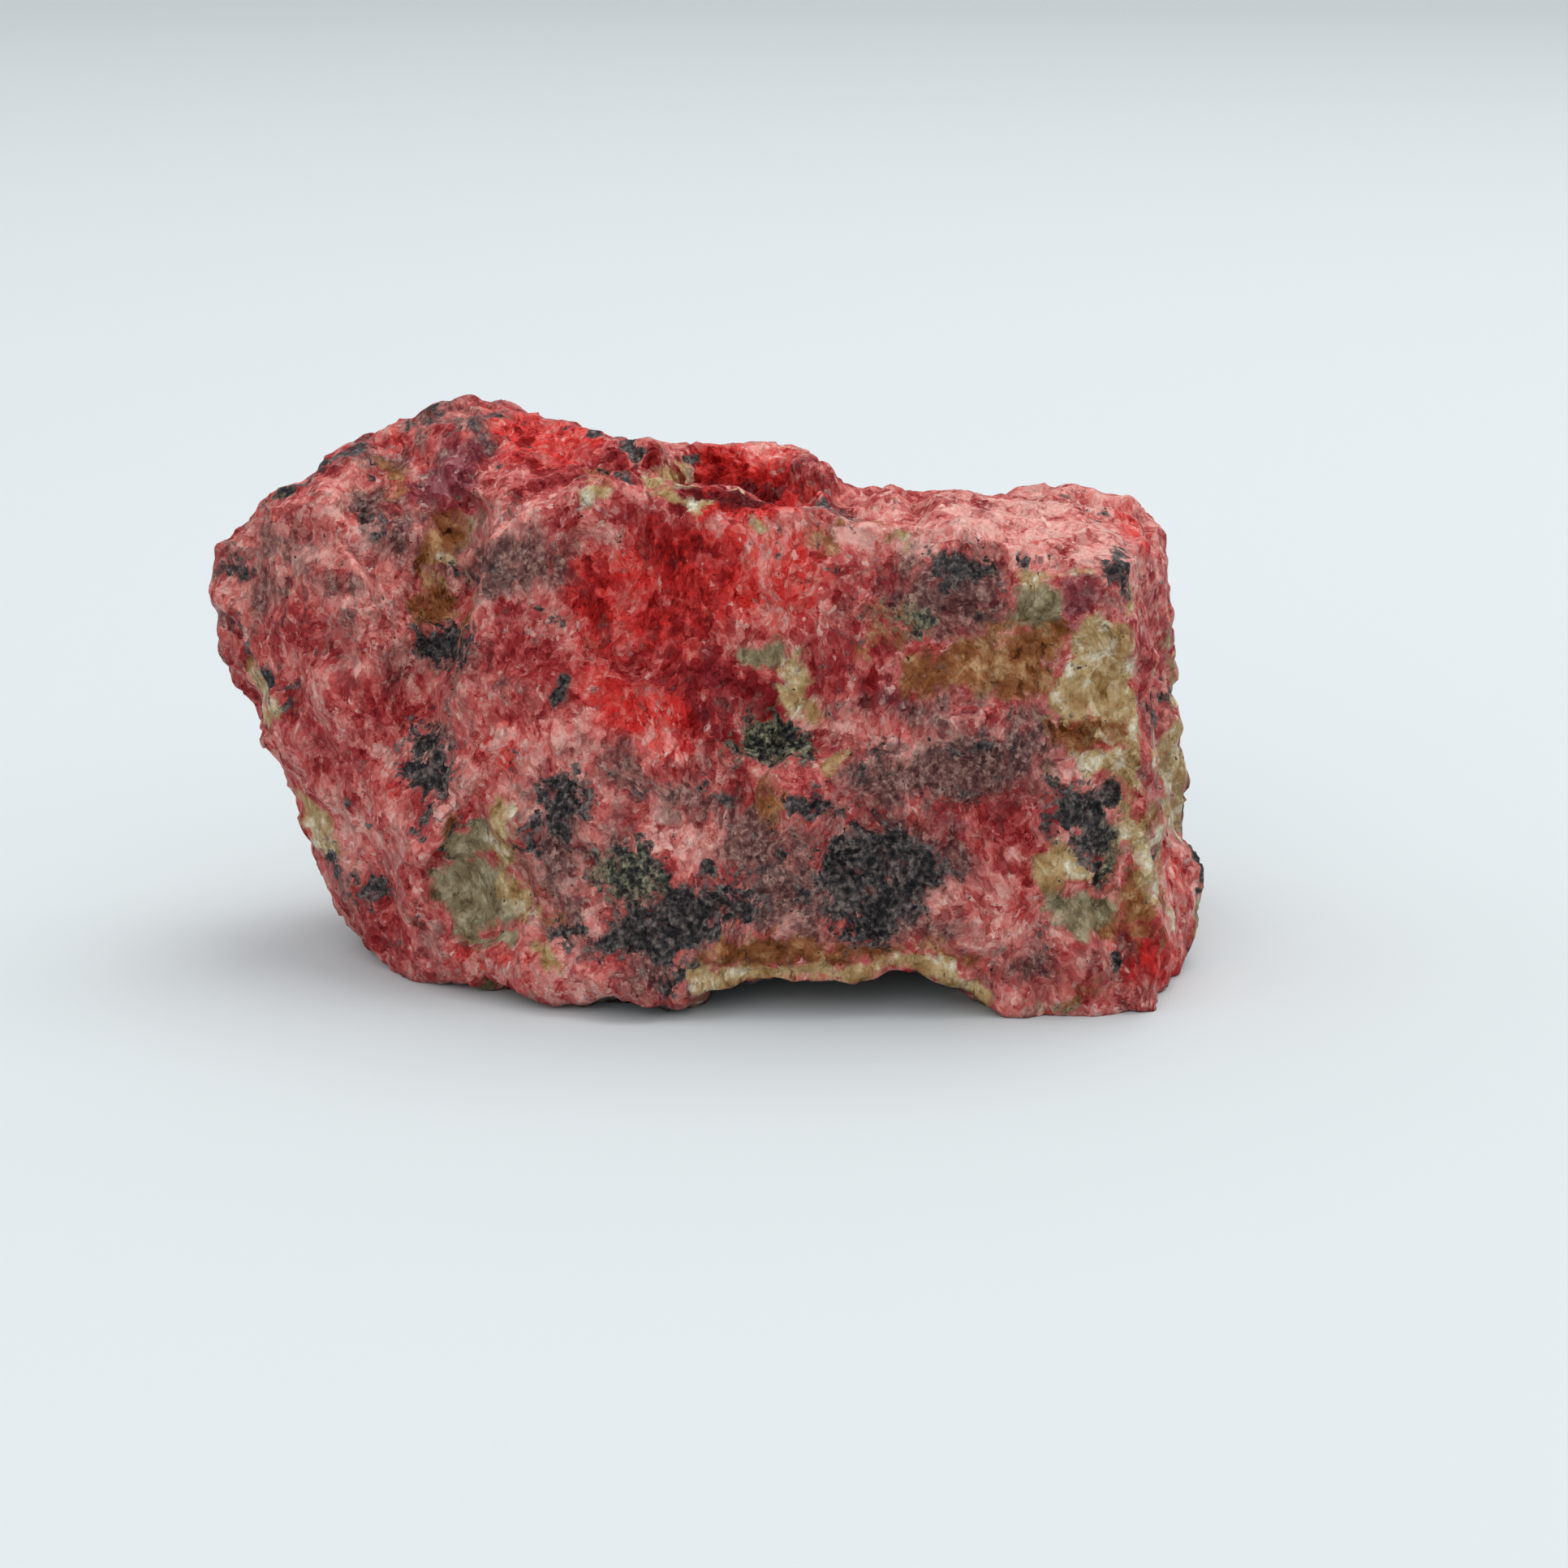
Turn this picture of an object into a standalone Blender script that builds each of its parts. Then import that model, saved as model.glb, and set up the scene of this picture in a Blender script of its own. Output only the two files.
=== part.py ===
"""A rough rhodonite hand specimen: one broken lump of pink rhodonite with quartz and
manganese oxide, standing on its flattest side.

The lump is modelled as it broke. A few blocky masses, each the convex hull of its corners,
are joined into one body and hollows are cut out of it. The joined surface is then worked
with ridges, grooves, steps and dents, chipped by fracture cells of several sizes, and
cut flat where it rests. Corners and strokes are in millimetres from the middle of the
base: +X to the right, +Y away from the display side and +Z up.
"""

import bmesh
import bpy
import numpy as np
from mathutils import Vector, kdtree

MM = 0.001

NODE = "rhodonite_stone"
WORKING_VOXEL = 0.65
ARRIS_SMOOTHING = 3
MOST_TRIANGLES = 9400
GROUND_SIZE = 120.0
STEP_EDGE = 1.4

# The masses that the lump is made of, by their corners.
CORE_BLOCK = [
    (-22.0, -9.0, 0.3), (-15.0, -15.0, 1.0), (-5.4, -19.0, 1.2), (22.0, -18.6, -1.2),
    (33.6, -16.4, -1.2), (-18.5, -10.5, 26.5), (-15.3, -10.5, 34.6), (-7.3, -9.5, 38.4),
    (-1.0, -11.0, 37.4), (10.0, -12.0, 36.8),
    (18.5, -14.0, 35.4), (30.9, -15.4, 33.3), (33.4, -16.8, 6.0),
    (33.4, -6.0, 34.2), (35.4, 5.0, 31.8), (36.4, 9.0, 22.6), (36.0, 12.0, 1.0),
    (13.5, 4.0, 33.9), (25.0, 6.0, 34.9), (32.0, 5.0, 34.3),
    (28.0, 17.0, 27.0), (30.0, 18.5, 4.0), (-15.0, 16.5, 31.0), (-21.0, 15.0, 6.0), (4.0, 20.0, 24.0),
    (-6.0, 13.0, 0.0), (6.0, 14.0, -0.6), (-24.0, 11.0, 20.0),
]
LEFT_WING = [
    (-37.0, 2.0, 30.3), (-38.1, 2.0, 27.0), (-36.0, 3.0, 21.9), (-33.2, 4.0, 16.0),
    (-30.8, 4.0, 10.4), (-29.0, 2.0, 4.4), (-28.0, 0.0, 1.2), (-24.8, -6.0, -0.4),
    (-20.8, -10.0, 0.0), (-34.6, 4.5, 32.3), (-29.5, -2.5, 32.5), (-24.8, -7.6, 26.5),
    (-20.0, -6.6, 27.0), (-28.5, -5.5, 20.0), (-21.0, -12.5, 11.0),
    (-27.0, 10.0, 34.0), (-22.0, 14.0, 28.0), (-28.0, 13.0, 14.0), (-23.0, 13.0, 3.0), (-14.0, -12.0, 14.0),
    (-12.0, 0.0, 20.0),
]
LEFT_SHOULDER = [
    (-33.8, 4.0, 34.2), (-34.6, 3.5, 31.6), (-29.8, 5.0, 36.8), (-26.1, 6.0, 38.4), (-22.4, 6.0, 40.5),
    (-30.0, -2.0, 32.5), (-23.0, -3.6, 33.0), (-18.6, -4.6, 32.5), (-14.0, -5.0, 33.0),
    (-29.0, 10.0, 31.0), (-20.0, 15.0, 33.0), (-16.0, 8.0, 36.0), (-24.0, -2.0, 20.0), (-12.0, -2.0, 20.0),
    (-17.0, -7.0, 22.0), (-23.0, 14.5, 20.0), (-12.0, 16.0, 24.0),
]
BACK_RIDGE = [
    (-22.4, 6.0, 40.5), (-20.5, 6.0, 41.6), (-17.4, 8.0, 41.8), (-14.5, 8.5, 39.9), (-8.0, 9.0, 37.2),
    (-4.0, 9.0, 36.7), (5.0, 8.0, 38.2), (8.6, 7.0, 37.9), (10.0, 4.0, 36.2), (11.0, -4.0, 35.3),
    (10.0, -6.6, 36.4), (11.4, 4.0, 33.0),
    (-18.5, -4.0, 36.0), (-10.0, -4.0, 36.6), (4.0, 0.0, 35.5), (-18.0, 15.0, 34.0), (6.0, 15.0, 31.0),
    (-12.0, 0.0, 26.0), (6.0, 2.0, 28.0),
]
CORNER_NODULE = [
    (32.0, -4.0, 11.0), (35.6, -2.0, 10.4), (38.0, -3.0, 8.2), (38.2, -3.5, 5.6), (36.8, -5.0, 0.8),
    (35.0, -8.0, -1.0), (33.5, -14.0, 0.5), (33.0, -12.0, 7.0), (34.0, 2.0, 3.0), (30.0, 0.0, 4.0),
]
QUARTZ_SLAB = [
    (35.8, 8.0, 21.5), (37.0, 12.0, 17.2), (37.8, 14.0, 10.7), (38.8, 14.0, 4.2), (37.8, 14.0, -0.2),
    (33.0, 19.5, 19.0), (34.5, 20.0, 3.0), (28.0, 15.0, 22.0), (28.0, 15.0, 2.0),
]
MASSES = {
    "left_wing": LEFT_WING,
    "left_shoulder": LEFT_SHOULDER,
    "back_ridge": BACK_RIDGE,
    "corner_nodule": CORNER_NODULE,
    "quartz_slab": QUARTZ_SLAB,
}

# What is hollowed out of them: the arched gap under the display edge with its deeper notch,
# the gully behind the top ledge, and a rounded scoop in the ridge behind that.
HOLLOWS = {
    "base_arch": [
        (-5.6, -26.0, -3.0), (-2.0, -26.0, 2.7), (13.0, -26.0, 3.3), (19.0, -26.0, -3.0),
        (-2.0, -6.0, -3.0), (4.0, -5.0, 1.0), (13.0, -4.0, 1.4), (17.0, -6.0, -3.0),
    ],
    "arch_notch": [
        (11.0, -26.0, -3.0), (12.4, -26.0, 4.0), (14.2, -26.0, 5.3), (16.8, -26.0, 4.8),
        (20.5, -26.0, 2.6), (26.5, -26.0, -0.4), (26.0, -26.0, -3.0), (14.0, -4.0, 0.4),
        (16.5, -4.0, 0.2), (20.0, -6.0, -1.5),
    ],
    "gully": [
        (-12.0, -6.0, 42.0), (-11.5, -3.0, 42.0), (0.0, -9.5, 42.0), (0.0, 1.0, 42.0),
        (8.0, -8.6, 42.0), (8.0, -5.0, 42.0), (-9.0, -4.8, 35.6), (-2.0, -6.5, 33.8),
        (6.0, -7.0, 33.6),
    ],
}
SCOOP_CENTRE = (3.0, -3.0, 38.6)
SCOOP_RADII = (6.4, 6.8, 4.6)

# Each side of the lump is worked in its own elevation: the axis that it is seen along, the
# sign of that axis towards the viewer, and the two axes that a stroke's points are in.
SIDES = {
    "front": (1, -1, (0, 2)),
    "back": (1, 1, (0, 2)),
    "top": (2, 1, (0, 1)),
    "base": (2, -1, (0, 1)),
    "right": (0, 1, (1, 2)),
    "left": (0, -1, (1, 2)),
}
# (side, line, width, height): a ridge stands out along its line. A groove's height is below zero.
RIDGES = [
    ("front", [(-13.1, 24.0), (-13.0, 20.0), (-13.2, 14.5)], 3.0, 1.1),
    ("front", [(-14.5, 19.5), (-17.5, 16.0), (-20.5, 11.5)], 2.0, 1.0),
    ("front", [(-21.0, 2.6), (-14.5, 2.9), (-9.5, 2.4), (-4.5, 1.6)], 2.4, 0.8),
    ("front", [(23.0, 23.0), (18.5, 21.0), (9.5, 18.6), (6.0, 15.5), (6.0, 10.5)], 3.2, 0.9),
    ("front", [(-28.5, 34.0), (-25.5, 29.0), (-23.0, 24.0)], 1.8, 0.8),
    ("front", [(-33.0, 31.0), (-30.0, 27.0), (-27.0, 22.5)], 1.8, 0.7),
    ("front", [(-17.6, 36.0), (-19.0, 31.5), (-19.8, 26.5), (-21.0, 22.0)], 2.8, -1.7),
    ("front", [(-36.0, 27.0), (-33.0, 21.0), (-29.0, 14.0)], 2.0, 0.6),
    ("front", [(30.6, 30.0), (30.2, 24.0), (31.0, 17.0)], 2.0, -0.6),
    ("front", [(27.8, 30.5), (20.0, 31.5), (10.0, 33.0)], 1.8, 0.5),
    ("right", [(-9.0, 31.0), (-9.5, 20.0), (-11.5, 10.0)], 2.0, -0.9),
    ("right", [(-4.0, 32.0), (-5.0, 22.0), (-7.5, 13.0)], 2.2, 0.7),
    ("right", [(4.0, 30.0), (7.0, 16.0), (6.0, 5.0)], 2.2, -1.0),
    ("top", [(14.0, -4.0), (22.0, -5.5), (30.0, -4.0)], 2.2, 0.5),
    ("top", [(15.0, -1.0), (24.0, 1.0), (31.0, 1.5)], 2.0, -0.7),
    ("back", [(28.0, 26.0), (14.0, 22.0), (0.0, 25.0), (-12.0, 21.0)], 3.0, 1.3),
    ("back", [(24.0, 10.0), (10.0, 12.0), (-6.0, 8.0), (-18.0, 12.0)], 3.0, -1.4),
    ("left", [(4.0, 34.0), (3.0, 28.0), (4.0, 18.0), (3.0, 8.0)], 1.8, 0.6),
    ("left", [(9.0, 28.0), (8.0, 16.0), (9.0, 6.0)], 2.4, -1.2),
]
# (side, line, width, drop): the surface falls by the drop on the right of the line, as it is
# followed, and comes back up over the width.
STEPS = [
    ("front", [(-1.2, 24.5), (-0.8, 22.5), (-0.2, 20.5), (1.5, 18.8)], 6.0, 1.1),
    ("front", [(-4.5, 31.5), (-8.0, 27.0), (-13.0, 25.0)], 5.0, 1.0),
    ("front", [(19.0, 30.5), (26.0, 29.0), (30.0, 26.0)], 6.0, 0.8),
    ("front", [(-20.5, 19.0), (-17.5, 21.5), (-14.0, 22.0)], 4.0, 0.9),
    ("front", [(8.0, 13.5), (14.0, 14.0), (20.0, 16.5), (26.0, 17.0)], 7.0, 0.9),
    ("front", [(-9.5, 12.5), (-5.0, 10.5), (-1.0, 9.0)], 5.0, 0.8),
    ("front", [(27.0, 12.5), (26.0, 8.5), (28.5, 6.0)], 4.0, -0.7),
    ("back", [(2.0, 34.0), (6.0, 24.0), (3.0, 12.0), (8.0, 4.0)], 9.0, 2.0),
    ("back", [(-30.0, 24.0), (-20.0, 22.0), (-10.0, 27.0)], 6.0, 1.4),
    ("back", [(-24.0, 10.0), (-14.0, 16.0), (-4.0, 15.0)], 6.0, 1.2),
    ("back", [(14.0, 30.0), (22.0, 22.0), (32.0, 20.0)], 6.0, 1.4),
    ("back", [(12.0, 12.0), (22.0, 8.0), (30.0, 10.0)], 5.0, -1.2),
    ("top", [(12.0, 2.0), (20.0, -2.0), (27.0, 3.0)], 5.0, -0.7),
    ("right", [(-14.0, 26.0), (-6.0, 24.0), (2.0, 27.0), (8.0, 20.0)], 4.0, 0.8),
]
# (side, middle, radii, height): a swell bulges by its height, and a dent's is below zero.
SWELLS = [
    ("front", (-3.5, 30.0), (11.0, 6.0), -0.9),
    ("front", (4.6, 21.6), (5.5, 3.2), -1.0),
    ("front", (2.0, 9.0), (11.0, 5.5), 0.9),
    ("front", (-16.4, 9.0), (4.2, 4.8), -1.5),
    ("front", (14.0, 26.0), (8.0, 5.0), 0.7),
    ("front", (26.5, 25.0), (4.5, 5.0), -0.7),
    ("front", (-26.5, 20.5), (5.0, 4.0), 0.8),
    ("front", (22.0, 12.0), (6.0, 5.0), -0.6),
    ("top", (-13.0, 1.0), (5.0, 4.0), -0.9),
    ("top", (-5.0, 9.5), (9.0, 8.5), -1.9),
    ("top", (4.5, 8.0), (6.0, 7.0), -0.7),
    ("top", (16.0, 7.0), (10.0, 10.0), -1.9),
    ("back", (16.0, 16.0), (9.0, 6.0), -1.4),
    ("back", (-10.0, 29.0), (8.0, 4.0), 1.2),
    ("base", (8.0, -2.0), (30.0, 11.0), -2.6),
    ("left", (8.0, 22.0), (3.0, 4.0), 0.9),
]
# The chips of an uneven fracture fill the space between two corners.
# (seed, cell size, tilt of a cell's face, step between cells)
CHIPPED_SPACE = ((-40.0, -22.0, -3.0), (41.0, 22.0, 44.0))
FRACTURES = [(6, 12.0, 0.032, 0.14), (9, 5.2, 0.040, 0.08)]


def clear_scene():
    for obj in list(bpy.data.objects):
        bpy.data.objects.remove(obj)


def collection_named(name):
    made = bpy.data.collections.new(name)
    bpy.context.scene.collection.children.link(made)
    return made


def object_from(bm, name, collection):
    mesh = bpy.data.meshes.new(name)
    bm.to_mesh(mesh)
    bm.free()
    obj = bpy.data.objects.new(name, mesh)
    collection.objects.link(obj)
    return obj


def as_helper(obj):
    obj.hide_render = True
    obj.display_type = "WIRE"
    return obj


def hull(name, corners, collection):
    """A closed convex helper with these corners."""
    bm = bmesh.new()
    for corner in corners:
        bm.verts.new(Vector(corner) * MM)
    made = bmesh.ops.convex_hull(bm, input=bm.verts, use_existing_faces=False)
    left_over = made["geom_interior"] + made["geom_unused"]
    inner = {item for item in left_over if isinstance(item, bmesh.types.BMVert)}
    bmesh.ops.delete(bm, geom=list(inner), context="VERTS")
    bmesh.ops.recalc_face_normals(bm, faces=bm.faces)
    return as_helper(object_from(bm, name, collection))


def ellipsoid(name, centre, radii, collection):
    bm = bmesh.new()
    bmesh.ops.create_icosphere(bm, subdivisions=2, radius=MM)
    bmesh.ops.scale(bm, vec=radii, verts=bm.verts)
    bmesh.ops.translate(bm, vec=Vector(centre) * MM, verts=bm.verts)
    return as_helper(object_from(bm, name, collection))


def ground_block(collection):
    """Everything below the surface that the stone stands on."""
    bm = bmesh.new()
    bmesh.ops.create_cube(bm, size=GROUND_SIZE * MM)
    bmesh.ops.translate(bm, vec=(0, 0, -GROUND_SIZE * MM / 2), verts=bm.verts)
    return as_helper(object_from(bm, "ground_block", collection))


def add_boolean(obj, other, operation, solver="EXACT"):
    modifier = obj.modifiers.new(other.name, "BOOLEAN")
    modifier.operation = operation
    modifier.solver = solver
    modifier.object = other


def evaluated_copy(obj, name, collection):
    """A new object that holds obj's mesh with its modifiers applied."""
    bpy.context.view_layer.update()
    graph = bpy.context.evaluated_depsgraph_get()
    mesh = bpy.data.meshes.new_from_object(obj.evaluated_get(graph))
    made = bpy.data.objects.new(name, mesh)
    collection.objects.link(made)
    return made


def joined_masses(helpers):
    """The blocky lump, joined, hollowed and evened out to one fine mesh."""
    lump = hull("core_block", CORE_BLOCK, helpers)
    for name, corners in MASSES.items():
        add_boolean(lump, hull(name, corners, helpers), "UNION")
    for name, corners in HOLLOWS.items():
        add_boolean(lump, hull(name, corners, helpers), "DIFFERENCE")
    add_boolean(lump, ellipsoid("scoop", SCOOP_CENTRE, SCOOP_RADII, helpers), "DIFFERENCE")
    remesh = lump.modifiers.new("one_body", "REMESH")
    remesh.mode = "VOXEL"
    remesh.voxel_size = WORKING_VOXEL * MM
    smooth = lump.modifiers.new("worn_arrises", "SMOOTH")
    smooth.iterations = ARRIS_SMOOTHING
    return lump


def mesh_arrays(mesh):
    """(points in millimetres, unit normals) of the vertices of a mesh of quads."""
    points = np.empty(len(mesh.vertices) * 3)
    corners = np.empty(len(mesh.loops), dtype=int)
    mesh.vertices.foreach_get("co", points)
    mesh.loops.foreach_get("vertex_index", corners)
    points = points.reshape(-1, 3) / MM
    quads = corners.reshape(-1, 4)
    across = np.cross(points[quads[:, 2]] - points[quads[:, 0]], points[quads[:, 3]] - points[quads[:, 1]])
    normals = np.zeros_like(points)
    np.add.at(normals, quads, across[:, None])
    return points, normals / np.linalg.norm(normals, axis=1, keepdims=True)


def facing(normals, side):
    """1 where a vertex faces that side squarely, down to 0 where it faces away."""
    axis, sign, _ = SIDES[side]
    return np.clip(2.5 * sign * normals[:, axis], 0, 1)


def measure_from_line(flat_points, line):
    """(distance, 1 on the right of the line or -1 on its left) for each point."""
    nearest = np.full(len(flat_points), np.inf)
    right = np.zeros(len(flat_points))
    for start, end in zip(line, line[1:]):
        along = np.subtract(end, start)
        offset = flat_points - start
        share = np.clip(offset @ along / (along @ along), 0, 1)
        distance = np.linalg.norm(offset - share[:, None] * along, axis=1)
        closer = distance < nearest
        nearest[closer] = distance[closer]
        right[closer] = np.sign(offset[:, 0] * along[1] - offset[:, 1] * along[0])[closer]
    return nearest, right


def ridge_height(points, normals, side, line, width, height):
    distance, _ = measure_from_line(points[:, SIDES[side][2]], line)
    return height * facing(normals, side) * np.clip(1 - distance / width, 0, 1)


def step_height(points, normals, side, line, width, drop):
    distance, right = measure_from_line(points[:, SIDES[side][2]], line)
    below = np.clip(0.5 + right * distance / STEP_EDGE, 0, 1)
    return -drop * facing(normals, side) * below * np.clip(1 - distance / width, 0, 1)


def swell_height(points, normals, side, middle, radii, height):
    away = (points[:, SIDES[side][2]] - middle) / radii
    return height * facing(normals, side) * np.clip(1 - (away**2).sum(axis=1), 0, 1)


def fracture_height(points, seed, size, tilt, step):
    """How far each point stands out on the chip that it lies on: each chip is flat and leans
    its own way, and its neighbours are a small step higher or lower."""
    low, high = np.array(CHIPPED_SPACE)
    count = int(np.prod((high - low) / size))
    random = np.random.default_rng(seed)
    middles = random.uniform(low, high, (count, 3))
    leans = random.normal(0, tilt, (count, 3))
    steps = random.uniform(-step, step, count)
    tree = kdtree.KDTree(count)
    for index, middle in enumerate(middles):
        tree.insert(middle, index)
    tree.balance()
    chip = np.array([tree.find(point)[1] for point in points])
    return ((points - middles[chip]) * leans[chip]).sum(axis=1) + steps[chip]


def work_surface(mesh):
    """Moves the vertices in or out by the strokes and the fracture cells, and then centres
    the stone on the frame's axis."""
    points, normals = mesh_arrays(mesh)
    height = np.zeros(len(points))
    for stroke in RIDGES:
        height += ridge_height(points, normals, *stroke)
    for stroke in STEPS:
        height += step_height(points, normals, *stroke)
    for stroke in SWELLS:
        height += swell_height(points, normals, *stroke)
    for fracture in FRACTURES:
        height += fracture_height(points, *fracture)
    points += normals * height[:, None]
    points[:, :2] -= (points.min(axis=0) + points.max(axis=0))[:2] / 2
    mesh.vertices.foreach_set("co", (points * MM).ravel())
    mesh.update()


def rhodonite():
    """The stone's own colour where no inclusion crosses it."""
    material = bpy.data.materials.new("rhodonite")
    material.use_nodes = True
    shader = material.node_tree.nodes["Principled BSDF"]
    shader.inputs["Base Color"].default_value = (0.52, 0.12, 0.12, 1)
    shader.inputs["Roughness"].default_value = 0.6
    shader.inputs["Metallic"].default_value = 0.0
    return material


def main():
    clear_scene()
    parts = collection_named("rhodonite_specimen")
    helpers = collection_named("masses_and_cutters")
    stone = evaluated_copy(joined_masses(helpers), NODE, parts)
    work_surface(stone.data)
    stone.data.materials.append(rhodonite())
    stone.data.calc_loop_triangles()
    facets = stone.modifiers.new("facets", "DECIMATE")
    facets.ratio = MOST_TRIANGLES / len(stone.data.loop_triangles)
    # Small chips can cross each other, where the exact solver would lose the whole body.
    add_boolean(stone, ground_block(helpers), "DIFFERENCE", "MANIFOLD")


main()
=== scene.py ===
"""The looks of the rhodonite specimen: one broken lump of pink rhodonite, veined with quartz
and speckled with manganese oxide, on a pale floor in soft light.

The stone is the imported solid, evened out to a fine mesh and worked with the ridges, steps,
facets and fibres of its fractures. Each mineral is laid on it as outlined areas and strokes,
drawn in the frame of the display view, and the material breaks them up into grains.
"""

import math

import bmesh
import bpy
import numpy as np
from bpy.props import FloatProperty, FloatVectorProperty, IntProperty, PointerProperty
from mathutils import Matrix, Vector, kdtree


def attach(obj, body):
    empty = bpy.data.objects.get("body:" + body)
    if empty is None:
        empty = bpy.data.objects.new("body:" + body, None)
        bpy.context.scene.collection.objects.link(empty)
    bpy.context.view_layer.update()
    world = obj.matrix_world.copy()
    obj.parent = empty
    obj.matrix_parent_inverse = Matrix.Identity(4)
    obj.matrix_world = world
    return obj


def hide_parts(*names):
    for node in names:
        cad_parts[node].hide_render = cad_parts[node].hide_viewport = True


bl_info = {
    "name": "Rhodonite Specimen",
    "version": (1, 0, 0),
    "blender": (4, 5, 0),
    "location": "View3D > Sidebar > Rhodonite",
    "description": "Dresses a broken lump of rhodonite and sets it on a pale floor",
    "category": "Object",
}

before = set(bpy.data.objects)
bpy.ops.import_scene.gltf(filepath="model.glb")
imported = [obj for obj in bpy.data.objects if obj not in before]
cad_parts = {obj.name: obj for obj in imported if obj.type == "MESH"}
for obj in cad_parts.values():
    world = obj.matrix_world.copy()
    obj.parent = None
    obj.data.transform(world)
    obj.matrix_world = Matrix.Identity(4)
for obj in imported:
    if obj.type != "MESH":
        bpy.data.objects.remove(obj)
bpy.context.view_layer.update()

MM = 0.001
NODE = "rhodonite_stone"
STONE = "rhodonite_stone_surface"

# The display view. What is drawn on the stone is placed in the pixels of its square frame, and
# its widths, heights and distances are in millimetres.
FRAME_SIDE = 1932
LENS = 90.0
SENSOR = 36.0
VIEW_TARGET = (5.64, -0.65, 12.8)
VIEW_DISTANCE = 300.0
VIEW_ELEVATION = math.radians(15.0)
VIEW_BACK = (0.0, -math.cos(VIEW_ELEVATION), math.sin(VIEW_ELEVATION))
VIEW_UP = (0.0, math.sin(VIEW_ELEVATION), math.cos(VIEW_ELEVATION))
PIXELS_PER_MM = FRAME_SIDE * LENS / SENSOR / VIEW_DISTANCE

# The way that the fibres lie, down to the right across the display side.
FIBRE_AXIS = (0.50, 0.10, -0.86)

# ---------------------------------------------------------------------------------------
# Relief of the display side. (line, width, height): a ridge stands out along its line and a
# groove, whose height is less than 0, lies below the surface.
RIDGES = [
    ([(600, 600), (578, 680), (562, 740), (548, 795)], 2.6, -0.7),
    ([(592, 650), (660, 625), (740, 602)], 1.3, 0.35),
    ([(642, 885), (640, 930), (646, 970)], 1.6, 0.45),
    ([(624, 900), (590, 945), (550, 1000), (516, 1052)], 1.2, 0.8),
    ([(1250, 868), (1140, 900), (1060, 945), (1000, 962), (960, 1030)], 1.5, 0.5),
    ([(1265, 712), (1345, 709), (1380, 730)], 1.0, 0.35),
    ([(1388, 770), (1395, 860), (1402, 940), (1412, 1040), (1420, 1130)], 1.6, 0.35),
    ([(330, 650), (385, 700), (430, 770), (470, 800)], 1.6, 0.45),
    ([(400, 600), (440, 680), (480, 740)], 1.6, 0.4),
    ([(290, 720), (330, 800), (380, 880), (420, 960)], 1.8, -0.35),
    ([(735, 583), (780, 592)], 0.6, -0.5),
    ([(545, 1165), (640, 1180), (730, 1205), (800, 1222)], 1.6, 0.4),
    ([(860, 800), (905, 805), (965, 812)], 1.2, -0.35),
    ([(700, 905), (770, 925), (850, 935)], 1.6, 0.3),
    ([(862, 606), (905, 616), (960, 610), (1000, 600)], 2.0, -1.2),
    ([(850, 838), (852, 900)], 0.8, -0.5),
    ([(904, 850), (908, 900)], 0.8, -0.5),
    ([(560, 560), (585, 600), (560, 640)], 1.8, -0.4),
    ([(1042, 602), (1075, 612), (1120, 614)], 2.4, -1.9),
    ([(752, 1254), (776, 1256), (802, 1260)], 2.8, -1.0),
    ([(700, 524), (745, 534), (800, 548)], 2.2, 0.9),
    ([(484, 506), (524, 486)], 2.0, 0.8),
    ([(262, 642), (300, 618)], 2.6, -1.5),
    ([(266, 780), (275, 830), (290, 862)], 2.6, -1.6),
    ([(1446, 765), (1456, 850)], 2.0, 0.5),
    ([(640, 500), (690, 515)], 2.0, -0.4),
    ([(328, 915), (346, 965)], 1.8, 0.5),
    ([(1430, 632), (1444, 668)], 2.0, -0.8),
    ([(1478, 1060), (1486, 1120)], 2.0, -0.7),
]
# (line, width, drop): the surface falls by the drop on the right of the line as followed.
STEPS = [
    ([(850, 828), (856, 868), (876, 902), (905, 925)], 3.2, -0.7),
    ([(1000, 800), (1010, 850), (1005, 900), (1040, 925)], 2.6, 0.5),
    ([(640, 632), (720, 655), (800, 690), (870, 760)], 3.0, 0.35),
    ([(690, 1110), (760, 1100), (830, 1095), (905, 1060), (965, 1030)], 3.0, 0.45),
    ([(1290, 960), (1300, 1030), (1280, 1100), (1310, 1160)], 2.4, -0.4),
    ([(655, 880), (700, 850), (730, 800)], 2.4, 0.3),
    ([(870, 1195), (1000, 1192), (1100, 1168), (1190, 1180)], 2.0, 0.4),
    ([(1235, 765), (1300, 775), (1300, 880), (1370, 900)], 2.0, 0.35),
]
# The width over which the surface falls.
STEP_EDGE = 0.7
# Seed of how the lines of ridges and steps wander.
RELIEF_WANDER_SEED = 51
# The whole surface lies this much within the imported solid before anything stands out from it.
INSET = 0.15
# Small fracture faces: (seed, facet size, tilt of the facets, step between them, stretch along
# the fibres).
FRACTURES = [(11, 6.5, 0.07, 0.22, 1.3), (12, 3.0, 0.09, 0.12, 1.4), (13, 1.5, 0.11, 0.06, 1.5)]
# How steeply a facet gives way to its neighbours, as a share of its size.
FRACTURE_BEND = 0.3
FRACTURE_NEIGHBOURS = 5
# Fibres lie along the fibre axis. They stand at their full height in some patches, and at the
# least share of it between them.
FIBRE_WIDTH = 1.0
FIBRE_STRETCH = 3.0
FIBRE_HEIGHT = 0.03
FIBRE_SEED = 41
FIBROUS_PATCH = 14.0
FIBROUS_LEAST = 0.35
FIBROUS_SEED = 42
ROUGHNESS_WIDTH = 0.9
ROUGHNESS_HEIGHT = 0.02
ROUGHNESS_SEED = 43
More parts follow.
